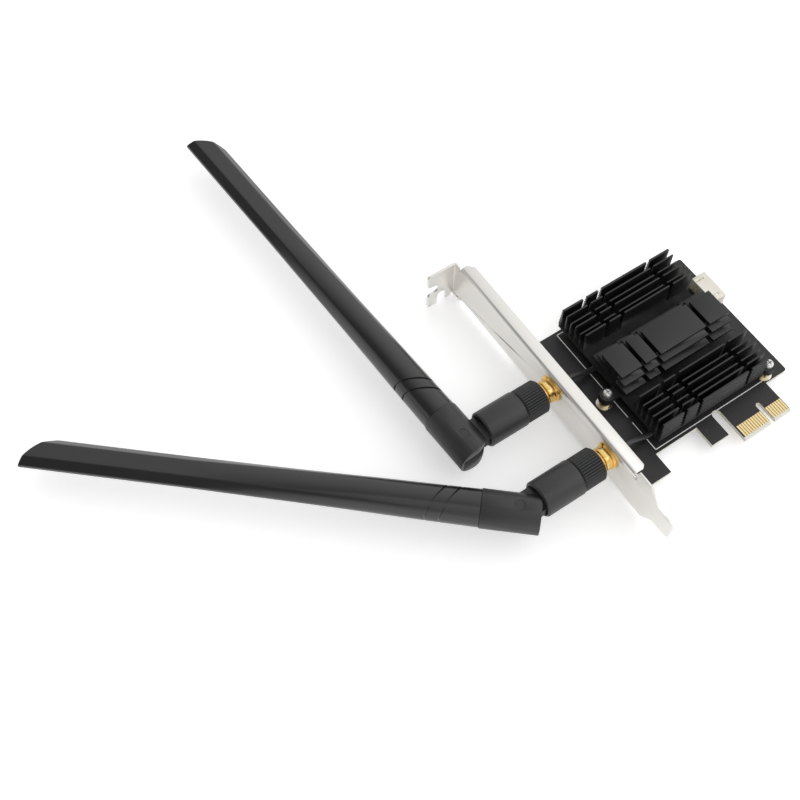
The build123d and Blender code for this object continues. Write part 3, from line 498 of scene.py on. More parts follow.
def anodised():
    """Black anodised extrusion: die lines along its length and a painted highlight on its rounded edges."""
    material, tree, shader = begin("anodised_black")
    if tree is None:
        return material
    colour = finishes().anodised
    inputs = {"Color": opaque(colour), "Stretch": (40.0, 3600.0, 3600.0), "Spread": 0.5,
              "Roughness": 0.32, "Vary": 0.16}
    skin = effect_node(tree, "drawn_lines", inputs)
    fine = effect_node(tree, "moulded_grain", {"Grain": 5200.0, "Spread": 0.4})
    # The pale grey on the heat sink's edges is a painted highlight, for the light that its rounded fin edges
    # catch.
    edge_mask = effect_node(tree, "worn_edges", {"Amount": 0.75, "Radius": 0.00018})["Mask"]
    specks = effect_node(tree, "dust_specks", {"Density": 520.0, "Amount": 0.4})["Mask"]
    edge_lightened = mix_colour(tree, edge_mask, skin["Color"], EDGE_HIGHLIGHT)
    dusty = mix_colour(tree, specks, edge_lightened, SINK_DUST)
    tree.links.new(dusty, shader.inputs["Base Color"])
    place = put(tree, "ShaderNodeTexCoord").outputs["Object"]
    height = put(tree, "ShaderNodeSeparateXYZ", {0: place}).outputs["Z"]
    dull = remap(tree, height, sizes().trough_low, sizes().trough_high, TROUGH_DULL, 0.0)
    tree.links.new(math_node(tree, "ADD", skin["Roughness"], dull), shader.inputs["Roughness"])
    shader.inputs["Specular IOR Level"].default_value = 0.5
    bump(tree, shader, fine["Height"], SINK_BUMP, SINK_DEPTH)
    return material


def solder_masked():
    """Board: black mask over the glass weave on its faces, pale laminate on its cut edges."""
    material, tree, shader = begin("black_board")
    if tree is None:
        return material
    place = put(tree, "ShaderNodeTexCoord")
    face_look = {"Color": opaque(finishes().solder_mask), "Grain": 2600.0, "Patch": 60.0,
                 "Spread": 0.6, "Roughness": 0.46}
    mask = effect_node(tree, "moulded_grain", face_look)
    weave_scale = {"Vector": place.outputs["Object"], "Scale": 620.0, "Distortion": 0.6, "Detail": 1.0}
    warp = put(tree, "ShaderNodeTexWave", weave_scale, bands_direction="X").outputs["Fac"]
    weft = put(tree, "ShaderNodeTexWave", weave_scale, bands_direction="Y").outputs["Fac"]
    weave = math_node(tree, "MULTIPLY", warp, weft)
    edge_look = {"Color": opaque(finishes().laminate), "Stretch": (60.0, 60.0, 5200.0),
                 "Spread": 0.35, "Roughness": 0.7}
    edge = effect_node(tree, "drawn_lines", edge_look)
    facing = put(tree, "ShaderNodeSeparateXYZ", {0: place.outputs["Normal"]}).outputs["Z"]
    flat = math_node(tree, "GREATER_THAN", math_node(tree, "ABSOLUTE", facing), FLAT_FACE)
    spot = put(tree, "ShaderNodeSeparateXYZ", {0: place.outputs["Object"]}).outputs
    low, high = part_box("edge_contacts")
    inward = math_node(tree, "GREATER_THAN", spot["Y"], low.y)
    flat = math_node(tree, "MULTIPLY", flat, inward)
    bare = math_node(tree, "MULTIPLY", math_node(tree, "GREATER_THAN", spot["X"], low.x),
                     math_node(tree, "LESS_THAN", spot["X"], high.x))
    bare = math_node(tree, "MULTIPLY", bare, math_node(tree, "LESS_THAN", spot["Y"], high.y))
    specks = effect_node(tree, "dust_specks", {"Density": 480.0, "Amount": 0.35})["Mask"]
    face = mix_colour(tree, specks, mask["Color"], BOARD_DUST)
    face = mix_colour(tree, bare, face, opaque(finishes().resin))
    tree.links.new(mix_colour(tree, flat, edge["Color"], face), shader.inputs["Base Color"])
    rough = put(tree, "ShaderNodeMix", {0: flat, 2: edge["Roughness"], 3: mask["Roughness"]}).outputs[0]
    tree.links.new(rough, shader.inputs["Roughness"])
    height = math_node(tree, "ADD", mask["Height"], math_node(tree, "MULTIPLY", weave, WEAVE_SHARE))
    shader.inputs["Specular IOR Level"].default_value = 0.5
    bump(tree, shader, height, BOARD_BUMP, BOARD_DEPTH)
    return material


# Meshes and pieces

EDGE_WEIGHT = "bevel_weight_edge"
WELD = 1e-6
FLAT = math.radians(0.6)
SMOOTH = math.radians(32)
RIDGE = math.radians(18)
ROUND_SEGMENTS = 2
TURN_STEPS = 64
LEAD_ROUND_STEPS, LEAD_STEPS, LEAD_ORDER = 6, 16, 3

# Shares of a wall ridge's height: where its peak lies, how near to it counts, and the lift
RIDGE_PEAK = 0.4
RIDGE_NEAR = 0.05
RIDGE_LIFT = 0.3

# Points on a flute, and the shares of its depth at the nut's two ends
FLUTE_STEPS = 8
FLUTE_FRONT, FLUTE_BACK = 0.6, 0.5

# Shares of the shank's radius, the head's radius and height, and the thread's pitch
SCREW_POINT = 0.25
PAN_HEAD = ((1.0, 0.0), (1.0, 0.28), (0.95, 0.6), (0.82, 0.86), (0.64, 1.0))
THREAD = (0.0, 0.3, 0.5, 0.8)
CROSS_ARM = 0.56
CROSS_HALF = 0.14
CROSS_DEPTH = 0.55
CROSS_TAPER = 0.75


def welded(node):
    """Copy of a solid's mesh with its faces joined and its flat areas merged."""
    shape = bmesh.new()
    shape.from_mesh(NODES[node].data)
    bmesh.ops.remove_doubles(shape, verts=shape.verts, dist=WELD)
    bmesh.ops.dissolve_limit(shape, angle_limit=FLAT, verts=shape.verts, edges=shape.edges)
    bmesh.ops.recalc_face_normals(shape, faces=shape.faces)
    return shape


def make_object(name, shape, material, angle=SMOOTH):
    """Object from a bmesh, smooth apart from its sharp edges."""
    bmesh.ops.recalc_face_normals(shape, faces=shape.faces)
    mesh = bpy.data.meshes.new(name)
    shape.to_mesh(mesh)
    shape.free()
    mesh.polygons.foreach_set("use_smooth", [True] * len(mesh.polygons))
    mesh.set_sharp_from_angle(angle=angle)
    mesh.materials.append(material)
    made = bpy.data.objects.new(name, mesh)
    bpy.context.scene.collection.objects.link(made)
    return made


def seat(piece, node, replace=True):
    """Lets a piece ride with a node's body and stand for it."""
    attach(piece, NODE_BODY[node])
    if replace:
        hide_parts(node)
    return piece


def weigh_edges(shape, angle):
    """Marks the outer edges that get a rounding."""
    weight = shape.edges.layers.float.new(EDGE_WEIGHT)
    for edge in shape.edges:
        if edge.is_manifold and edge.is_convex and edge.calc_face_angle(0.0) > angle:
            edge[weight] = 1.0


def round_edges(piece, width):
    """Small rounding on a piece's marked edges, so that they catch the light."""
    bevel = piece.modifiers.new("edge_round", "BEVEL")
    bevel.width = width
    bevel.segments = ROUND_SEGMENTS
    bevel.limit_method = "WEIGHT"
    bevel.use_clamp_overlap = False
    bevel.miter_outer = "MITER_ARC"
    bevel.harden_normals = True
    marks = piece.data.attributes[EDGE_WEIGHT].data
    for edge, mark in zip(piece.data.edges, marks):
        if mark.value:
            edge.use_edge_sharp = False


def crisp_ridges(shape):
    """Lifts the peaks of the ridges on the heat sink's outer walls, so that each has a ledge on top."""
    size = sizes()
    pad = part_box("thermal_pad")
    middle = (pad[0].y + pad[1].y) / 2
    step = (size.wall_top - size.wall_foot) / size.wall_ridges
    for vert in shape.verts:
        if abs(vert.co.y - middle) < size.wall_face:
            continue
        down = (size.wall_top - vert.co.z) / step % 1.0
        if abs(down - RIDGE_PEAK) < RIDGE_NEAR:
            vert.co.z += RIDGE_LIFT * step


def dress(node, material, width, angle=SMOOTH, change=None):
    """Stands a finished copy of a solid, with rounded outer edges, in its place."""
    shape = welded(node)
    if change:
        change(shape)
    weigh_edges(shape, angle)
    piece = make_object(f"{node}_finished", shape, material, angle)
    round_edges(piece, width)
    return seat(piece, node)


def paint(node, material):
    """Gives a solid that stays as it is its finish."""
    mesh = NODES[node].data
    mesh.materials.clear()
    mesh.materials.append(material)


def basis(origin, axis):
    """Matrix that takes +Z to an axis at an origin."""
    return Matrix.Translation(origin) @ axis.to_track_quat("Z", "Y").to_matrix().to_4x4()


def turn(shape, profile, place, steps=TURN_STEPS, closed=True, flute=0.0):
    """Turns a profile of (radius, height) points round the place's Z axis and returns its last ring.

    A third value in a point is the share of the flute's depth that it is sunk by.
    """
    rings = []
    for radius, height, *share in profile:
        if radius == 0:
            rings.append([shape.verts.new(place @ Vector((0, 0, height)))] * steps)
            continue
        sink = flute * share[0] if share else 0.0
        ring = []
        for i in range(steps):
            angle = 2 * math.pi * i / steps
            crest = math.sqrt(abs(math.sin(math.pi * i / FLUTE_STEPS)))
            reach = radius - sink * (1 - crest)
            point = Vector((reach * math.cos(angle), reach * math.sin(angle), height))
            ring.append(shape.verts.new(place @ point))
        rings.append(ring)
    for low, high in zip(rings, rings[1:] + (rings[:1] if closed else [])):
        for i in range(steps):
            j = (i + 1) % steps
            corners = list(dict.fromkeys((low[i], low[j], high[j], high[i])))
            if len(corners) > 2:
                shape.faces.new(corners)
    return rings[-1]


def loop_edges(shape, ring):
    pairs = zip(ring, ring[1:] + ring[:1])
    return [shape.edges.get(pair) or shape.edges.new(pair) for pair in pairs]


def pan_screw(shape, place, head_radius, head_height, shank_radius, shank_length):
    """Screw with a domed head and a cross recess; the place's origin is under the head."""
    point = shank_radius * SCREW_POINT
    profile = [(0, -shank_length), (shank_radius - point, -shank_length)]
    profile += [(shank_radius, point - shank_length), (shank_radius, 0.0)]
    profile += [(head_radius * wide, head_height * high) for wide, high in PAN_HEAD]
    rim = turn(shape, profile, place, closed=False)
    arm, half = head_radius * CROSS_ARM, head_radius * CROSS_HALF
    corners = [Vector(corner) for corner in ((half, half), (half, arm), (-half, arm))]
    cross = [Matrix.Rotation(k * math.pi / 2, 2) @ corner for k in range(4) for corner in corners]
    floor = head_height * (1 - CROSS_DEPTH)
    top = [shape.verts.new(place @ Vector((*corner, head_height))) for corner in cross]
    deep = [shape.verts.new(place @ Vector((*corner * CROSS_TAPER, floor))) for corner in cross]
    for i in range(len(cross)):
        j = (i + 1) % len(cross)
        shape.faces.new((top[i], top[j], deep[j], deep[i]))
    shape.faces.new(deep)
    bmesh.ops.triangle_fill(shape, use_beauty=True, edges=loop_edges(shape, rim) + loop_edges(shape, top))


def bar(shape, start, end, width, height):
    """Low flat bar between two points on the board."""
    along = (end - start).normalized()
    side = UP.cross(along) * width / 2
    low = [shape.verts.new(p) for p in (start - side, start + side, end + side, end - side)]
    top = [shape.verts.new(v.co + UP * height) for v in low]
    shape.faces.new(low)
    shape.faces.new(top)
    for i in range(4):
        j = (i + 1) % 4
        shape.faces.new((low[i], low[j], top[j], top[i]))


def jack_axis(number):
    """Point on a jack's axis in the plate's outer face."""
    low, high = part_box(f"jack_pin_{number}")
    return Vector((0, (low.y + high.y) / 2, (low.z + high.z) / 2))


def blade_axes(number):
    """Hinge point, direction along the blade and direction across it."""
    hinge = HINGES[number]
    low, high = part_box(f"radiator_{number}")
    along = (low + high) / 2 - hinge
    along.z = 0
    along.normalize()
    return hinge, along, UP.cross(along)


def screws(node, head_radius, shank_radius, material):
    """Pan-head screws in place of a node's two screws, which stand at two corners of its box."""
    low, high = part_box(node)
    head_height = sizes().head_height
    seat_z = high.z - head_height
    shape = bmesh.new()
    for x, y in ((low.x + head_radius, high.y - head_radius), (high.x - head_radius, low.y + head_radius)):
        place = Matrix.Translation((x, y, seat_z))
        pan_screw(shape, place, head_radius, head_height, shank_radius, seat_z - low.z)
    return seat(make_object(f"{node}_finished", shape, material), node)


def threaded_jack(number):
    """Jack with a shoulder inside the bracket, a thread outside it and a hollow mouth."""
    size = sizes()
    low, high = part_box(f"jack_{number}")
    edge, radius = size.turned_edge, size.thread_radius
    root = radius - size.thread_depth
    shoulder_radius = (high.y - low.y) / 2
    tail, mouth = -high.x, -low.x
    face = -size.sheet
    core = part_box(f"jack_insulator_{number}")
    core_radius, core_back = (core[1].y - core[0].y) / 2, -core[1].x
    lead_bore = size.lead_radius + edge / 4
    profile = [(lead_bore, tail), (size.tail_radius - edge, tail), (size.tail_radius, tail + edge)]
    profile += [(size.tail_radius, face - size.shoulder), (shoulder_radius - edge, face - size.shoulder)]
    profile += [(shoulder_radius, face - size.shoulder + edge), (shoulder_radius, face - edge)]
    profile += [(shoulder_radius - edge, face), (root, face)]
    pitch = size.thread_pitch
    for k in range(int((mouth - face) / pitch)):
        start = face + k * pitch
        turns = zip((root, radius, radius, root), THREAD)
        profile += [(reach, start + pitch * share) for reach, share in turns]
    profile += [(root, mouth), (size.mouth_radius, mouth), (size.mouth_radius, mouth - size.mouth_depth)]
    profile += [(core_radius, mouth - size.mouth_depth), (core_radius, core_back), (lead_bore, core_back)]
    shape = bmesh.new()
    turn(shape, profile, basis(jack_axis(number), OUTWARD))
    jack = make_object(f"jack_{number}_finished", shape, metal("gold_plate"))
    return seat(jack, f"jack_{number}")


def washers(number):
    """Flat washer on the plate with a slightly smaller lock ring on it."""
    low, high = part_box(f"jack_washer_{number}")
    edge = sizes().turned_edge / 2
    radius, bore = (high.y - low.y) / 2, sizes().thread_radius + edge / 2
    bottom, top = -high.x, -low.x
    middle = (bottom + top) / 2
    shape = bmesh.new()
    for outer, start, end in ((radius, bottom, middle), (radius - 2 * edge, middle, top)):
        profile = [(bore, start), (outer - edge, start), (outer, start + edge)]
        profile += [(outer, end - edge), (outer - edge, end), (bore, end)]
        turn(shape, profile, basis(jack_axis(number), OUTWARD))
    rings = make_object(f"jack_washer_{number}_finished", shape, metal("gold_plate"))
    return seat(rings, f"jack_washer_{number}")


def fluted_nut(number):
    """Coupling nut with rounded ridges between narrow flutes."""
    size = sizes()
    low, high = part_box(f"coupling_nut_{number}")
    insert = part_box(f"coupling_insert_{number}")
    radius, bore = (high.y - low.y) / 2, (insert[1].y - insert[0].y) / 2
    front, back, wall = -high.x, -low.x, -insert[0].x
    bevel, edge = size.nut_bevel, size.turned_edge
    neck = bore - bevel
    profile = [(bore, front), (radius - bevel, front, 0.0)]
    profile += [(radius - edge, front + bevel - edge, FLUTE_FRONT), (radius, front + bevel, 1.0)]
    profile += [(radius, back - 2 * edge, 1.0)]
    profile += [(radius - edge, back - edge, FLUTE_BACK), (radius - 2 * edge, back)]
    profile += [(neck, back), (neck, wall), (bore, wall)]
    shape = bmesh.new()
    steps = size.flutes * FLUTE_STEPS
    turn(shape, profile, basis(jack_axis(number), OUTWARD), steps, flute=size.flute_depth)
    nut = make_object(f"coupling_nut_{number}_finished", shape, plastic("knurl_black"))
    return seat(nut, f"coupling_nut_{number}")


def lead(number):
    """Thin coaxial lead that drops from its jack to the board and runs under the heat sink."""
    size = sizes()
    jack = jack_axis(number)
    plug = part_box(f"rf_plug_{number}")
    plug_y = (plug[0].y + plug[1].y) / 2
    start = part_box(f"rf_lead_{number}")[0].x
    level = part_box(f"rf_lead_{number}")[0].z + size.lead_radius
    route = [(start, jack.y, jack.z), (size.lead_drop, jack.y, jack.z), (size.lead_land, jack.y, level)]
    route += [(size.lead_turn, jack.y, level), (size.lead_turn_end, plug_y, level)]
    route += [(plug[0].x, plug_y, level)]
    curve = bpy.data.curves.new(f"rf_lead_{number}_finished", "CURVE")
    curve.dimensions = "3D"
    curve.bevel_depth = size.lead_radius
    curve.bevel_resolution = LEAD_ROUND_STEPS
    curve.resolution_u = LEAD_STEPS
    curve.use_fill_caps = True
    spline = curve.splines.new("NURBS")
    spline.points.add(len(route) - 1)
    for point, place in zip(spline.points, route):
        point.co = (*place, 1.0)
    spline.order_u = LEAD_ORDER
    spline.use_endpoint_u = True
    curve.materials.append(plastic("jacket_black"))
    made = bpy.data.objects.new(curve.name, curve)
    bpy.context.scene.collection.objects.link(made)
    return seat(made, f"rf_lead_{number}")


def printed_frame():
    """White line printed round the place of the heat sink, with a gap in its left side."""
    size = sizes()
    low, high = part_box("board")
    front = low.y + size.contact_tongue + size.silk_margin
    rear = high.y - size.silk_margin
    left, right = size.silk_left, size.silk_right
    gap = front + size.silk_gap_place
    shape = bmesh.new()
    for start, end in (((left, rear), (left, gap + size.silk_gap)), ((left, gap), (left, front)),
                       ((left, front), (right, front)), ((left, rear), (right, rear))):
        bar(shape, Vector((*start, 0)), Vector((*end, 0)), size.silk_width, size.silk_height)
    return seat(make_object("printed_frame", shape, plastic("silk_print")), "board", replace=False)


def plated_rings():
    """Plated rings on the board round the feet of the standoffs."""
    size = sizes()
    low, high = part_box("heat_sink_standoffs")
    foot = size.standoff_radius
    shape = bmesh.new()
    for x, y in ((low.x + foot, high.y - foot), (high.x - foot, low.y + foot)):
        profile = [(foot, 0.0), (size.pad_ring, 0.0)]
        profile += [(size.pad_ring, size.pad_height / 2), (foot, size.pad_height)]
        turn(shape, profile, Matrix.Translation((x, y, 0)))
    return seat(make_object("plated_rings", shape, metal("tinned")), "heat_sink_standoffs", replace=False)


# Blade of an antenna

BLADE_STEPS = 10


def blade_corners():
    """Corners of the blade's flat form, as (across, up), with one ridge nearer the middle than the other."""
    size = sizes()
    flank = size.blade_half_width - size.blade_bevel
    top = [(size.blade_half_width, size.blade_edge), (size.blade_ridge, size.blade_half_thickness),
           (-flank, size.blade_half_thickness), (-size.blade_half_width, size.blade_edge)]
    return [Vector(p) for p in top + [(w, -z) for w, z in reversed(top)]]


def blade_section():
    """Pairs round the section: a point of the flat form with rounded corners, and an angle on the circle."""
    corners = blade_corners()
    round_length = sizes().blade_corner
    pairs = []
    for i, corner in enumerate(corners):
        before, after = corners[i - 1], corners[(i + 1) % len(corners)]
        length = (after - corner).length
        back, onward = (before - corner).normalized(), (after - corner).normalized()
        start = math.atan2(corner.y, corner.x)
        sweep = (math.atan2(after.y, after.x) - start) % (2 * math.pi)
        pairs.append((corner + (back + onward) * round_length / 4, start))
        share = round_length / length
        count = sizes().side_points
        for k in range(count):
            at = share + (1 - 2 * share) * k / (count - 1)
            pairs.append((corner + onward * length * at, start + sweep * at))
    return pairs


def tip_curve():
    """Distance of the tip from the hinge, as a function of the place across the blade."""
    size = sizes()
    half, drop = size.blade_half_width, size.tip_drop
    a = Vector((size.blade_tip, half))
    b = Vector((size.blade_tip - drop / 2 + size.tip_bulge, 0))
    c = Vector((size.blade_tip - drop, -half))
    d = 2 * (a.x * (b.y - c.y) + b.x * (c.y - a.y) + c.x * (a.y - b.y))
    x = (a.dot(a) * (b.y - c.y) + b.dot(b) * (c.y - a.y) + c.dot(c) * (a.y - b.y)) / d
    y = (a.dot(a) * (c.x - b.x) + b.dot(b) * (a.x - c.x) + c.dot(c) * (b.x - a.x)) / d
    radius = (a - Vector((x, y))).length
    return lambda w: x + math.sqrt(max(radius ** 2 - (w - y) ** 2, 0))


def blade_rings():
    """Rings of (along, across, up) points from the spigot to the tip."""
    size = sizes()
    section = blade_section()
    rings = []

    def radius_at(s):
        share = (s - size.blade_root) / (size.blade_taper_end - size.blade_root)
        return size.blade_root_radius + (size.blade_taper_radius - size.blade_root_radius) * share

    def turned(s, radius, slant=0.0, sink=0.0):
        ring = []
        for _, angle in section:
            at = s + radius * math.cos(angle) * math.tan(slant)
            reach = radius - sink
            ring.append((at, reach * math.cos(angle), reach * math.sin(angle)))
        return ring

    rings.append(turned(size.blade_root - size.spigot_length, size.spigot_radius))
    rings.append(turned(size.blade_root, size.spigot_radius))
    lip = size.blade_corner / 2
    rings.append(turned(size.blade_root, size.blade_root_radius - lip))
    rings.append(turned(size.blade_root + lip, size.blade_root_radius))
    half = size.groove_width / 2
    for place in (size.groove_first, size.groove_second):
        for shift, sink in ((-half, 0.0), (-half, 1.0), (half, 1.0), (half, 0.0)):
            s = place + shift
            rings.append(turned(s, radius_at(s), size.groove_slant, sink * size.groove_depth))
    rings.append(turned(size.blade_taper_end, size.blade_taper_radius))
    for k in range(1, BLADE_STEPS + 1):
        share = k / BLADE_STEPS
        s = size.blade_taper_end + (size.blade_flat_start - size.blade_taper_end) * share
        ring = []
        for flat, angle in section:
            circle = Vector((math.cos(angle), math.sin(angle))) * size.blade_taper_radius
            point = circle.lerp(flat, share)
            ring.append((s, point.x, point.y))
        rings.append(ring)
    tip = tip_curve()
    brow = size.blade_corner
    rounded = 1 - brow / size.blade_half_thickness
    for share, back, shrink in ((0.5, 0.0, 1.0), (1.0, brow, 1.0), (1.0, 0.0, rounded)):
        ring = []
        for flat, _ in section:
            s = size.blade_flat_start + (tip(flat.x) - size.blade_flat_start) * share - back
            ring.append((s, flat.x, flat.y * shrink))
        rings.append(ring)
    return rings


def blade_shape(number):
    """Skin of an antenna's blade through its rings, closed at the spigot and the tip."""
    hinge, along, across = blade_axes(number)
    shape = bmesh.new()
    rings = []
    for ring in blade_rings():
        rings.append([shape.verts.new(hinge + along * s + across * w + UP * z) for s, w, z in ring])
    count = len(rings[0])
    for low, high in zip(rings, rings[1:]):
        for i in range(count):
            j = (i + 1) % count
            shape.faces.new((low[i], low[j], high[j], high[i]))
    shape.faces.new(rings[0])
    tip = rings[-1]
    half = count // 2
    first = sizes().side_points + 1
    for k in range(half - first):
        upper, lower = k, (half - first - k + half) % count
        pair = (tip[upper], tip[upper + 1], tip[lower - 1], tip[lower])
        corners = list(dict.fromkeys(pair))
        if len(corners) > 2:
            shape.faces.new(corners)
    bmesh.ops.holes_fill(shape, edges=[e for e in shape.edges if e.is_boundary], sides=0)
    return shape


# Operators, one for each piece or group of like pieces

class CARD_OT_bracket(bpy.types.Operator):
    """Bright plated bracket with rounded sheet edges"""

    bl_idname = "card.bracket"
    bl_label = "Bracket"

    def execute(self, context):
        dress("bracket", metal("nickel_sheet"), sizes().sheet_round)
        return {"FINISHED"}


class CARD_OT_board(bpy.types.Operator):
    """Black board with its gold contacts and printed lines"""

    bl_idname = "card.board"
    bl_label = "Board"

    def execute(self, context):
        paint("board", solder_masked())
        paint("edge_contacts", metal("contact_plate"))
        printed_frame()
        plated_rings()
        return {"FINISHED"}


class CARD_OT_heat_sink(bpy.types.Operator):
    """Black finned heat sink with a painted highlight on its edges"""

    bl_idname = "card.heat_sink"
    bl_label = "Heat sink"

    def execute(self, context):
        dress("heat_sink", anodised(), sizes().fin_round, RIDGE, crisp_ridges)
        paint("heat_sink_standoffs", metal("turned_brass"))
        return {"FINISHED"}


class CARD_OT_screws(bpy.types.Operator):
    """Cross-head screws on the heat sink's ears and the bracket's lugs"""

    bl_idname = "card.screws"
    bl_label = "Screws"

    def execute(self, context):
        size = sizes()
        screws("heat_sink_screws", size.small_head, size.small_shank, metal("screw_steel"))
        screws("lug_screws", size.large_head, size.large_shank, metal("screw_steel"))
        return {"FINISHED"}


class CARD_OT_radio(bpy.types.Operator):
    """Radio module and the small parts under the heat sink"""

    bl_idname = "card.radio"
    bl_label = "Radio module"

    def execute(self, context):
        paint("radio_module", solder_masked())
        paint("radio_shield", metal("tinned"))
        paint("radio_chip", plastic("epoxy_black"))
        paint("thermal_pad", plastic("soft_pad"))
        paint("board_capacitors", plastic("brown_ceramic"))
        paint("voltage_regulator", plastic("epoxy_black"))
        return {"FINISHED"}


class CARD_OT_header(bpy.types.Operator):
    """Ivory header at the board's edge with its pins"""

    bl_idname = "card.header"
    bl_label = "Header"

    def execute(self, context):
        dress("header_housing", plastic("ivory_nylon"), sizes().header_round)
        paint("header_pins", metal("turned_brass"))
        return {"FINISHED"}


class CARD_OT_jacks(bpy.types.Operator):
    """Gold jacks with their washers and hex nuts"""

    bl_idname = "card.jacks"
    bl_label = "Jacks"

    def execute(self, context):
        for n in ANTENNAS:
            threaded_jack(n)
            washers(n)
            for node in ("jack_pin", "coupling_insert", "plug_body", "plug_contact"):
                paint(f"{node}_{n}", metal("gold_plate"))
            for node in ("jack_insulator", "plug_insulator"):
                paint(f"{node}_{n}", plastic("white_insulator"))
            dress(f"jack_nut_{n}", metal("gold_plate"), sizes().nut_round)
        return {"FINISHED"}


class CARD_OT_leads(bpy.types.Operator):
    """Thin coaxial leads from the jacks to the radio module"""

    bl_idname = "card.leads"
    bl_label = "Leads"

    def execute(self, context):
        for n in ANTENNAS:
            lead(n)
            paint(f"rf_plug_{n}", metal("turned_brass"))
        return {"FINISHED"}


class CARD_OT_barrels(bpy.types.Operator):
    """Knurled coupling nuts and swivelling barrels of the antennas"""

    bl_idname = "card.barrels"
    bl_label = "Coupling nuts and barrels"

    def execute(self, context):
        for n in ANTENNAS:
            fluted_nut(n)
            dress(f"swivel_base_{n}", plastic("moulded_black"), sizes().plastic_round)
        return {"FINISHED"}


class CARD_OT_blades(bpy.types.Operator):
    """Folding blades of the antennas with their sleeves and hinge pins"""

    bl_idname = "card.blades"
    bl_label = "Blades"

    def execute(self, context):
        for n in ANTENNAS:
            dress(f"blade_sleeve_{n}", plastic("moulded_black"), sizes().plastic_round)
            paint(f"hinge_pin_{n}", plastic("moulded_black"))
            paint(f"radiator_{n}", metal("copper_strip"))
            blade = make_object(f"radome_{n}_finished", blade_shape(n), plastic("radome_black"))
            weights = blade.modifiers.new("flat_faces", "WEIGHTED_NORMAL")
            weights.keep_sharp = True
            seat(blade, f"radome_{n}")
        return {"FINISHED"}


FLOOR_REACH = 4.0
FLOOR_GAP = 0.0002
FLOOR_ROUGHNESS = 0.9
WHITE = (1, 1, 1, 1)
BRIGHT_CONE = (0.0, 0.9)
HORIZON = (0.15, 0.35)
SENSOR_WIDTH = 36
CLIP_START, CLIP_END = 0.01, 20


def lay_floor(stage):
    """Pale floor just under the card, white to the camera and in reflections."""
    shape = bmesh.new()
    bmesh.ops.create_grid(shape, x_segments=1, y_segments=1, size=FLOOR_REACH)
    bmesh.ops.translate(shape, verts=shape.verts, vec=(0, 0, CAD_BOX[0].z - FLOOR_GAP))
    floor, tree, shader = begin("pale_floor")
    shader.inputs["Base Color"].default_value = opaque(stage.floor)
    shader.inputs["Roughness"].default_value = FLOOR_ROUGHNESS
    shader.inputs["Specular IOR Level"].default_value = 0.0
    shader.inputs["Emission Color"].default_value = WHITE
    path = put(tree, "ShaderNodeLightPath").outputs
    seen = math_node(tree, "MAXIMUM", path["Is Camera Ray"], path["Is Glossy Ray"])
    seen = math_node(tree, "MAXIMUM", seen, path["Is Transmission Ray"])
    glow = math_node(tree, "MULTIPLY", seen, stage.floor_glow)
    tree.links.new(glow, shader.inputs["Emission Strength"])
    make_object("floor", shape, floor)


def light_studio(scene, stage):
    """Soft light that is stronger on one side, and a white background."""
    world = bpy.data.worlds.new("studio")
    world.use_nodes = True
    scene.world = world
    sky = world.node_tree
    direction = put(sky, "ShaderNodeTexCoord").outputs["Generated"]
    toward = vector_math(sky, "DOT_PRODUCT", {0: direction, 1: stage.bright_side})["Value"]
    soft = remap(sky, toward, *BRIGHT_CONE, stage.dim_light, stage.bright_light)
    height = put(sky, "ShaderNodeSeparateXYZ", {0: direction}).outputs["Z"]
    near_floor = remap(sky, height, *HORIZON, 1.0, 0.0)
    path = put(sky, "ShaderNodeLightPath").outputs
    mirrored = math_node(sky, "MAXIMUM", path["Is Glossy Ray"], path["Is Transmission Ray"])
    seen = math_node(sky, "MULTIPLY", mirrored, near_floor)
    seen = math_node(sky, "MAXIMUM", seen, path["Is Camera Ray"])
    strength = put(sky, "ShaderNodeMix", {0: seen, 2: soft, 3: 1.0}).outputs[0]
    background = sky.nodes["Background"]
    background.inputs["Color"].default_value = WHITE
    sky.links.new(strength, background.inputs["Strength"])


def area_light(scene, name, power, size, place, target):
    lamp = bpy.data.lights.new(name, "AREA")
    lamp.energy = power
    lamp.size = size
    made = bpy.data.objects.new(name, lamp)
    made.location = place
    made.rotation_mode = "QUATERNION"
    made.rotation_quaternion = (target - place).to_track_quat("-Z", "Y")
    scene.collection.objects.link(made)


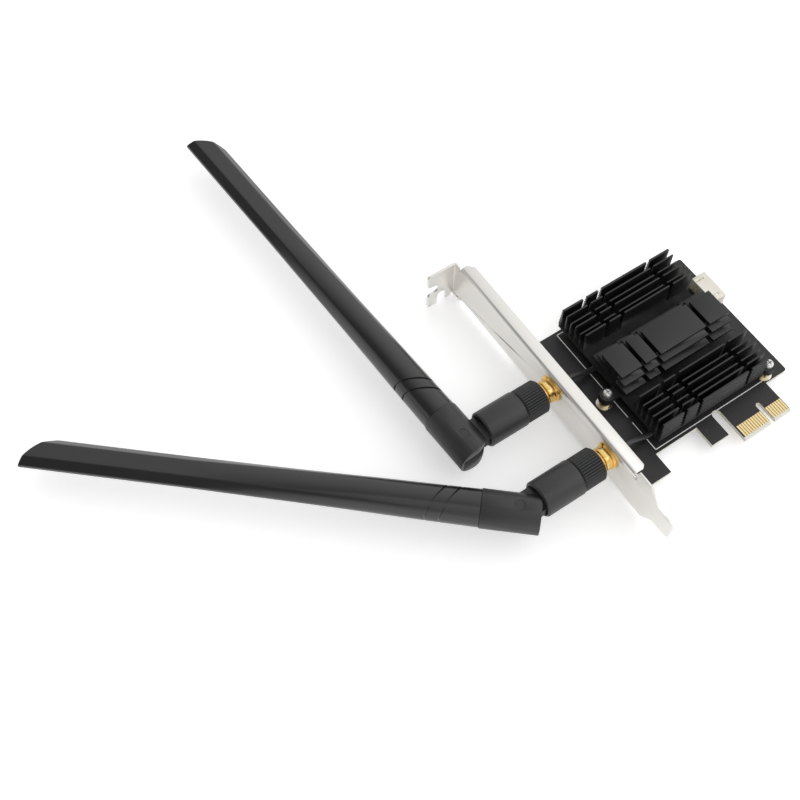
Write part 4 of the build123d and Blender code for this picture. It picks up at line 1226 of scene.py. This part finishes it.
def place_camera(scene, stage):
    camera = bpy.data.cameras.new("camera")
    camera.sensor_width = SENSOR_WIDTH
    camera.lens = stage.lens
    camera.clip_start = CLIP_START
    camera.clip_end = CLIP_END
    made = bpy.data.objects.new("camera", camera)
    made.location = stage.camera_place
    a, e = stage.azimuth, stage.elevation
    back = Vector((math.sin(a) * math.cos(e), -math.cos(a) * math.cos(e), math.sin(e)))
    made.rotation_mode = "QUATERNION"
    made.rotation_quaternion = (-back).to_track_quat("-Z", "Y")
    scene.collection.objects.link(made)
    scene.camera = made


class CARD_OT_stage(bpy.types.Operator):
    """Pale floor, soft light and the camera"""

    bl_idname = "card.stage"
    bl_label = "Stage"

    def execute(self, context):
        scene = context.scene
        stage = scene.card_stage
        middle = (CAD_BOX[0] + CAD_BOX[1]) / 2
        lay_floor(stage)
        light_studio(scene, stage)
        for name, power, offset in (("key_softbox", stage.key_power, stage.key_offset),
                                    ("fill_softbox", stage.fill_power, stage.fill_offset)):
            area_light(scene, name, power, stage.key_size, middle + Vector(offset), middle)
        place_camera(scene, stage)
        scene.view_settings.view_transform = "Standard"
        return {"FINISHED"}


OPERATORS = (
    CARD_OT_stage,
    CARD_OT_bracket,
    CARD_OT_board,
    CARD_OT_heat_sink,
    CARD_OT_screws,
    CARD_OT_radio,
    CARD_OT_header,
    CARD_OT_jacks,
    CARD_OT_leads,
    CARD_OT_barrels,
    CARD_OT_blades,
)


class CARD_PT_panel(bpy.types.Panel):
    bl_label = "Wireless network card"
    bl_idname = "CARD_PT_panel"
    bl_space_type = "VIEW_3D"
    bl_region_type = "UI"
    bl_category = "Card"

    def draw(self, context):
        for operator in OPERATORS:
            self.layout.operator(operator.bl_idname)


GROUPS = {"card_finishes": CardFinishes, "card_sizes": CardSizes, "card_stage": CardStage}
CLASSES = (*GROUPS.values(), *OPERATORS, CARD_PT_panel)


def register():
    for item in CLASSES:
        bpy.utils.register_class(item)
    for name, group in GROUPS.items():
        setattr(bpy.types.Scene, name, PointerProperty(type=group))


def unregister():
    for name in GROUPS:
        delattr(bpy.types.Scene, name)
    for item in reversed(CLASSES):
        bpy.utils.unregister_class(item)


def main():
    register()
    for operator in OPERATORS:
        family, name = operator.bl_idname.split(".")
        getattr(getattr(bpy.ops, family), name)()


if __name__ == "__main__":
    main()
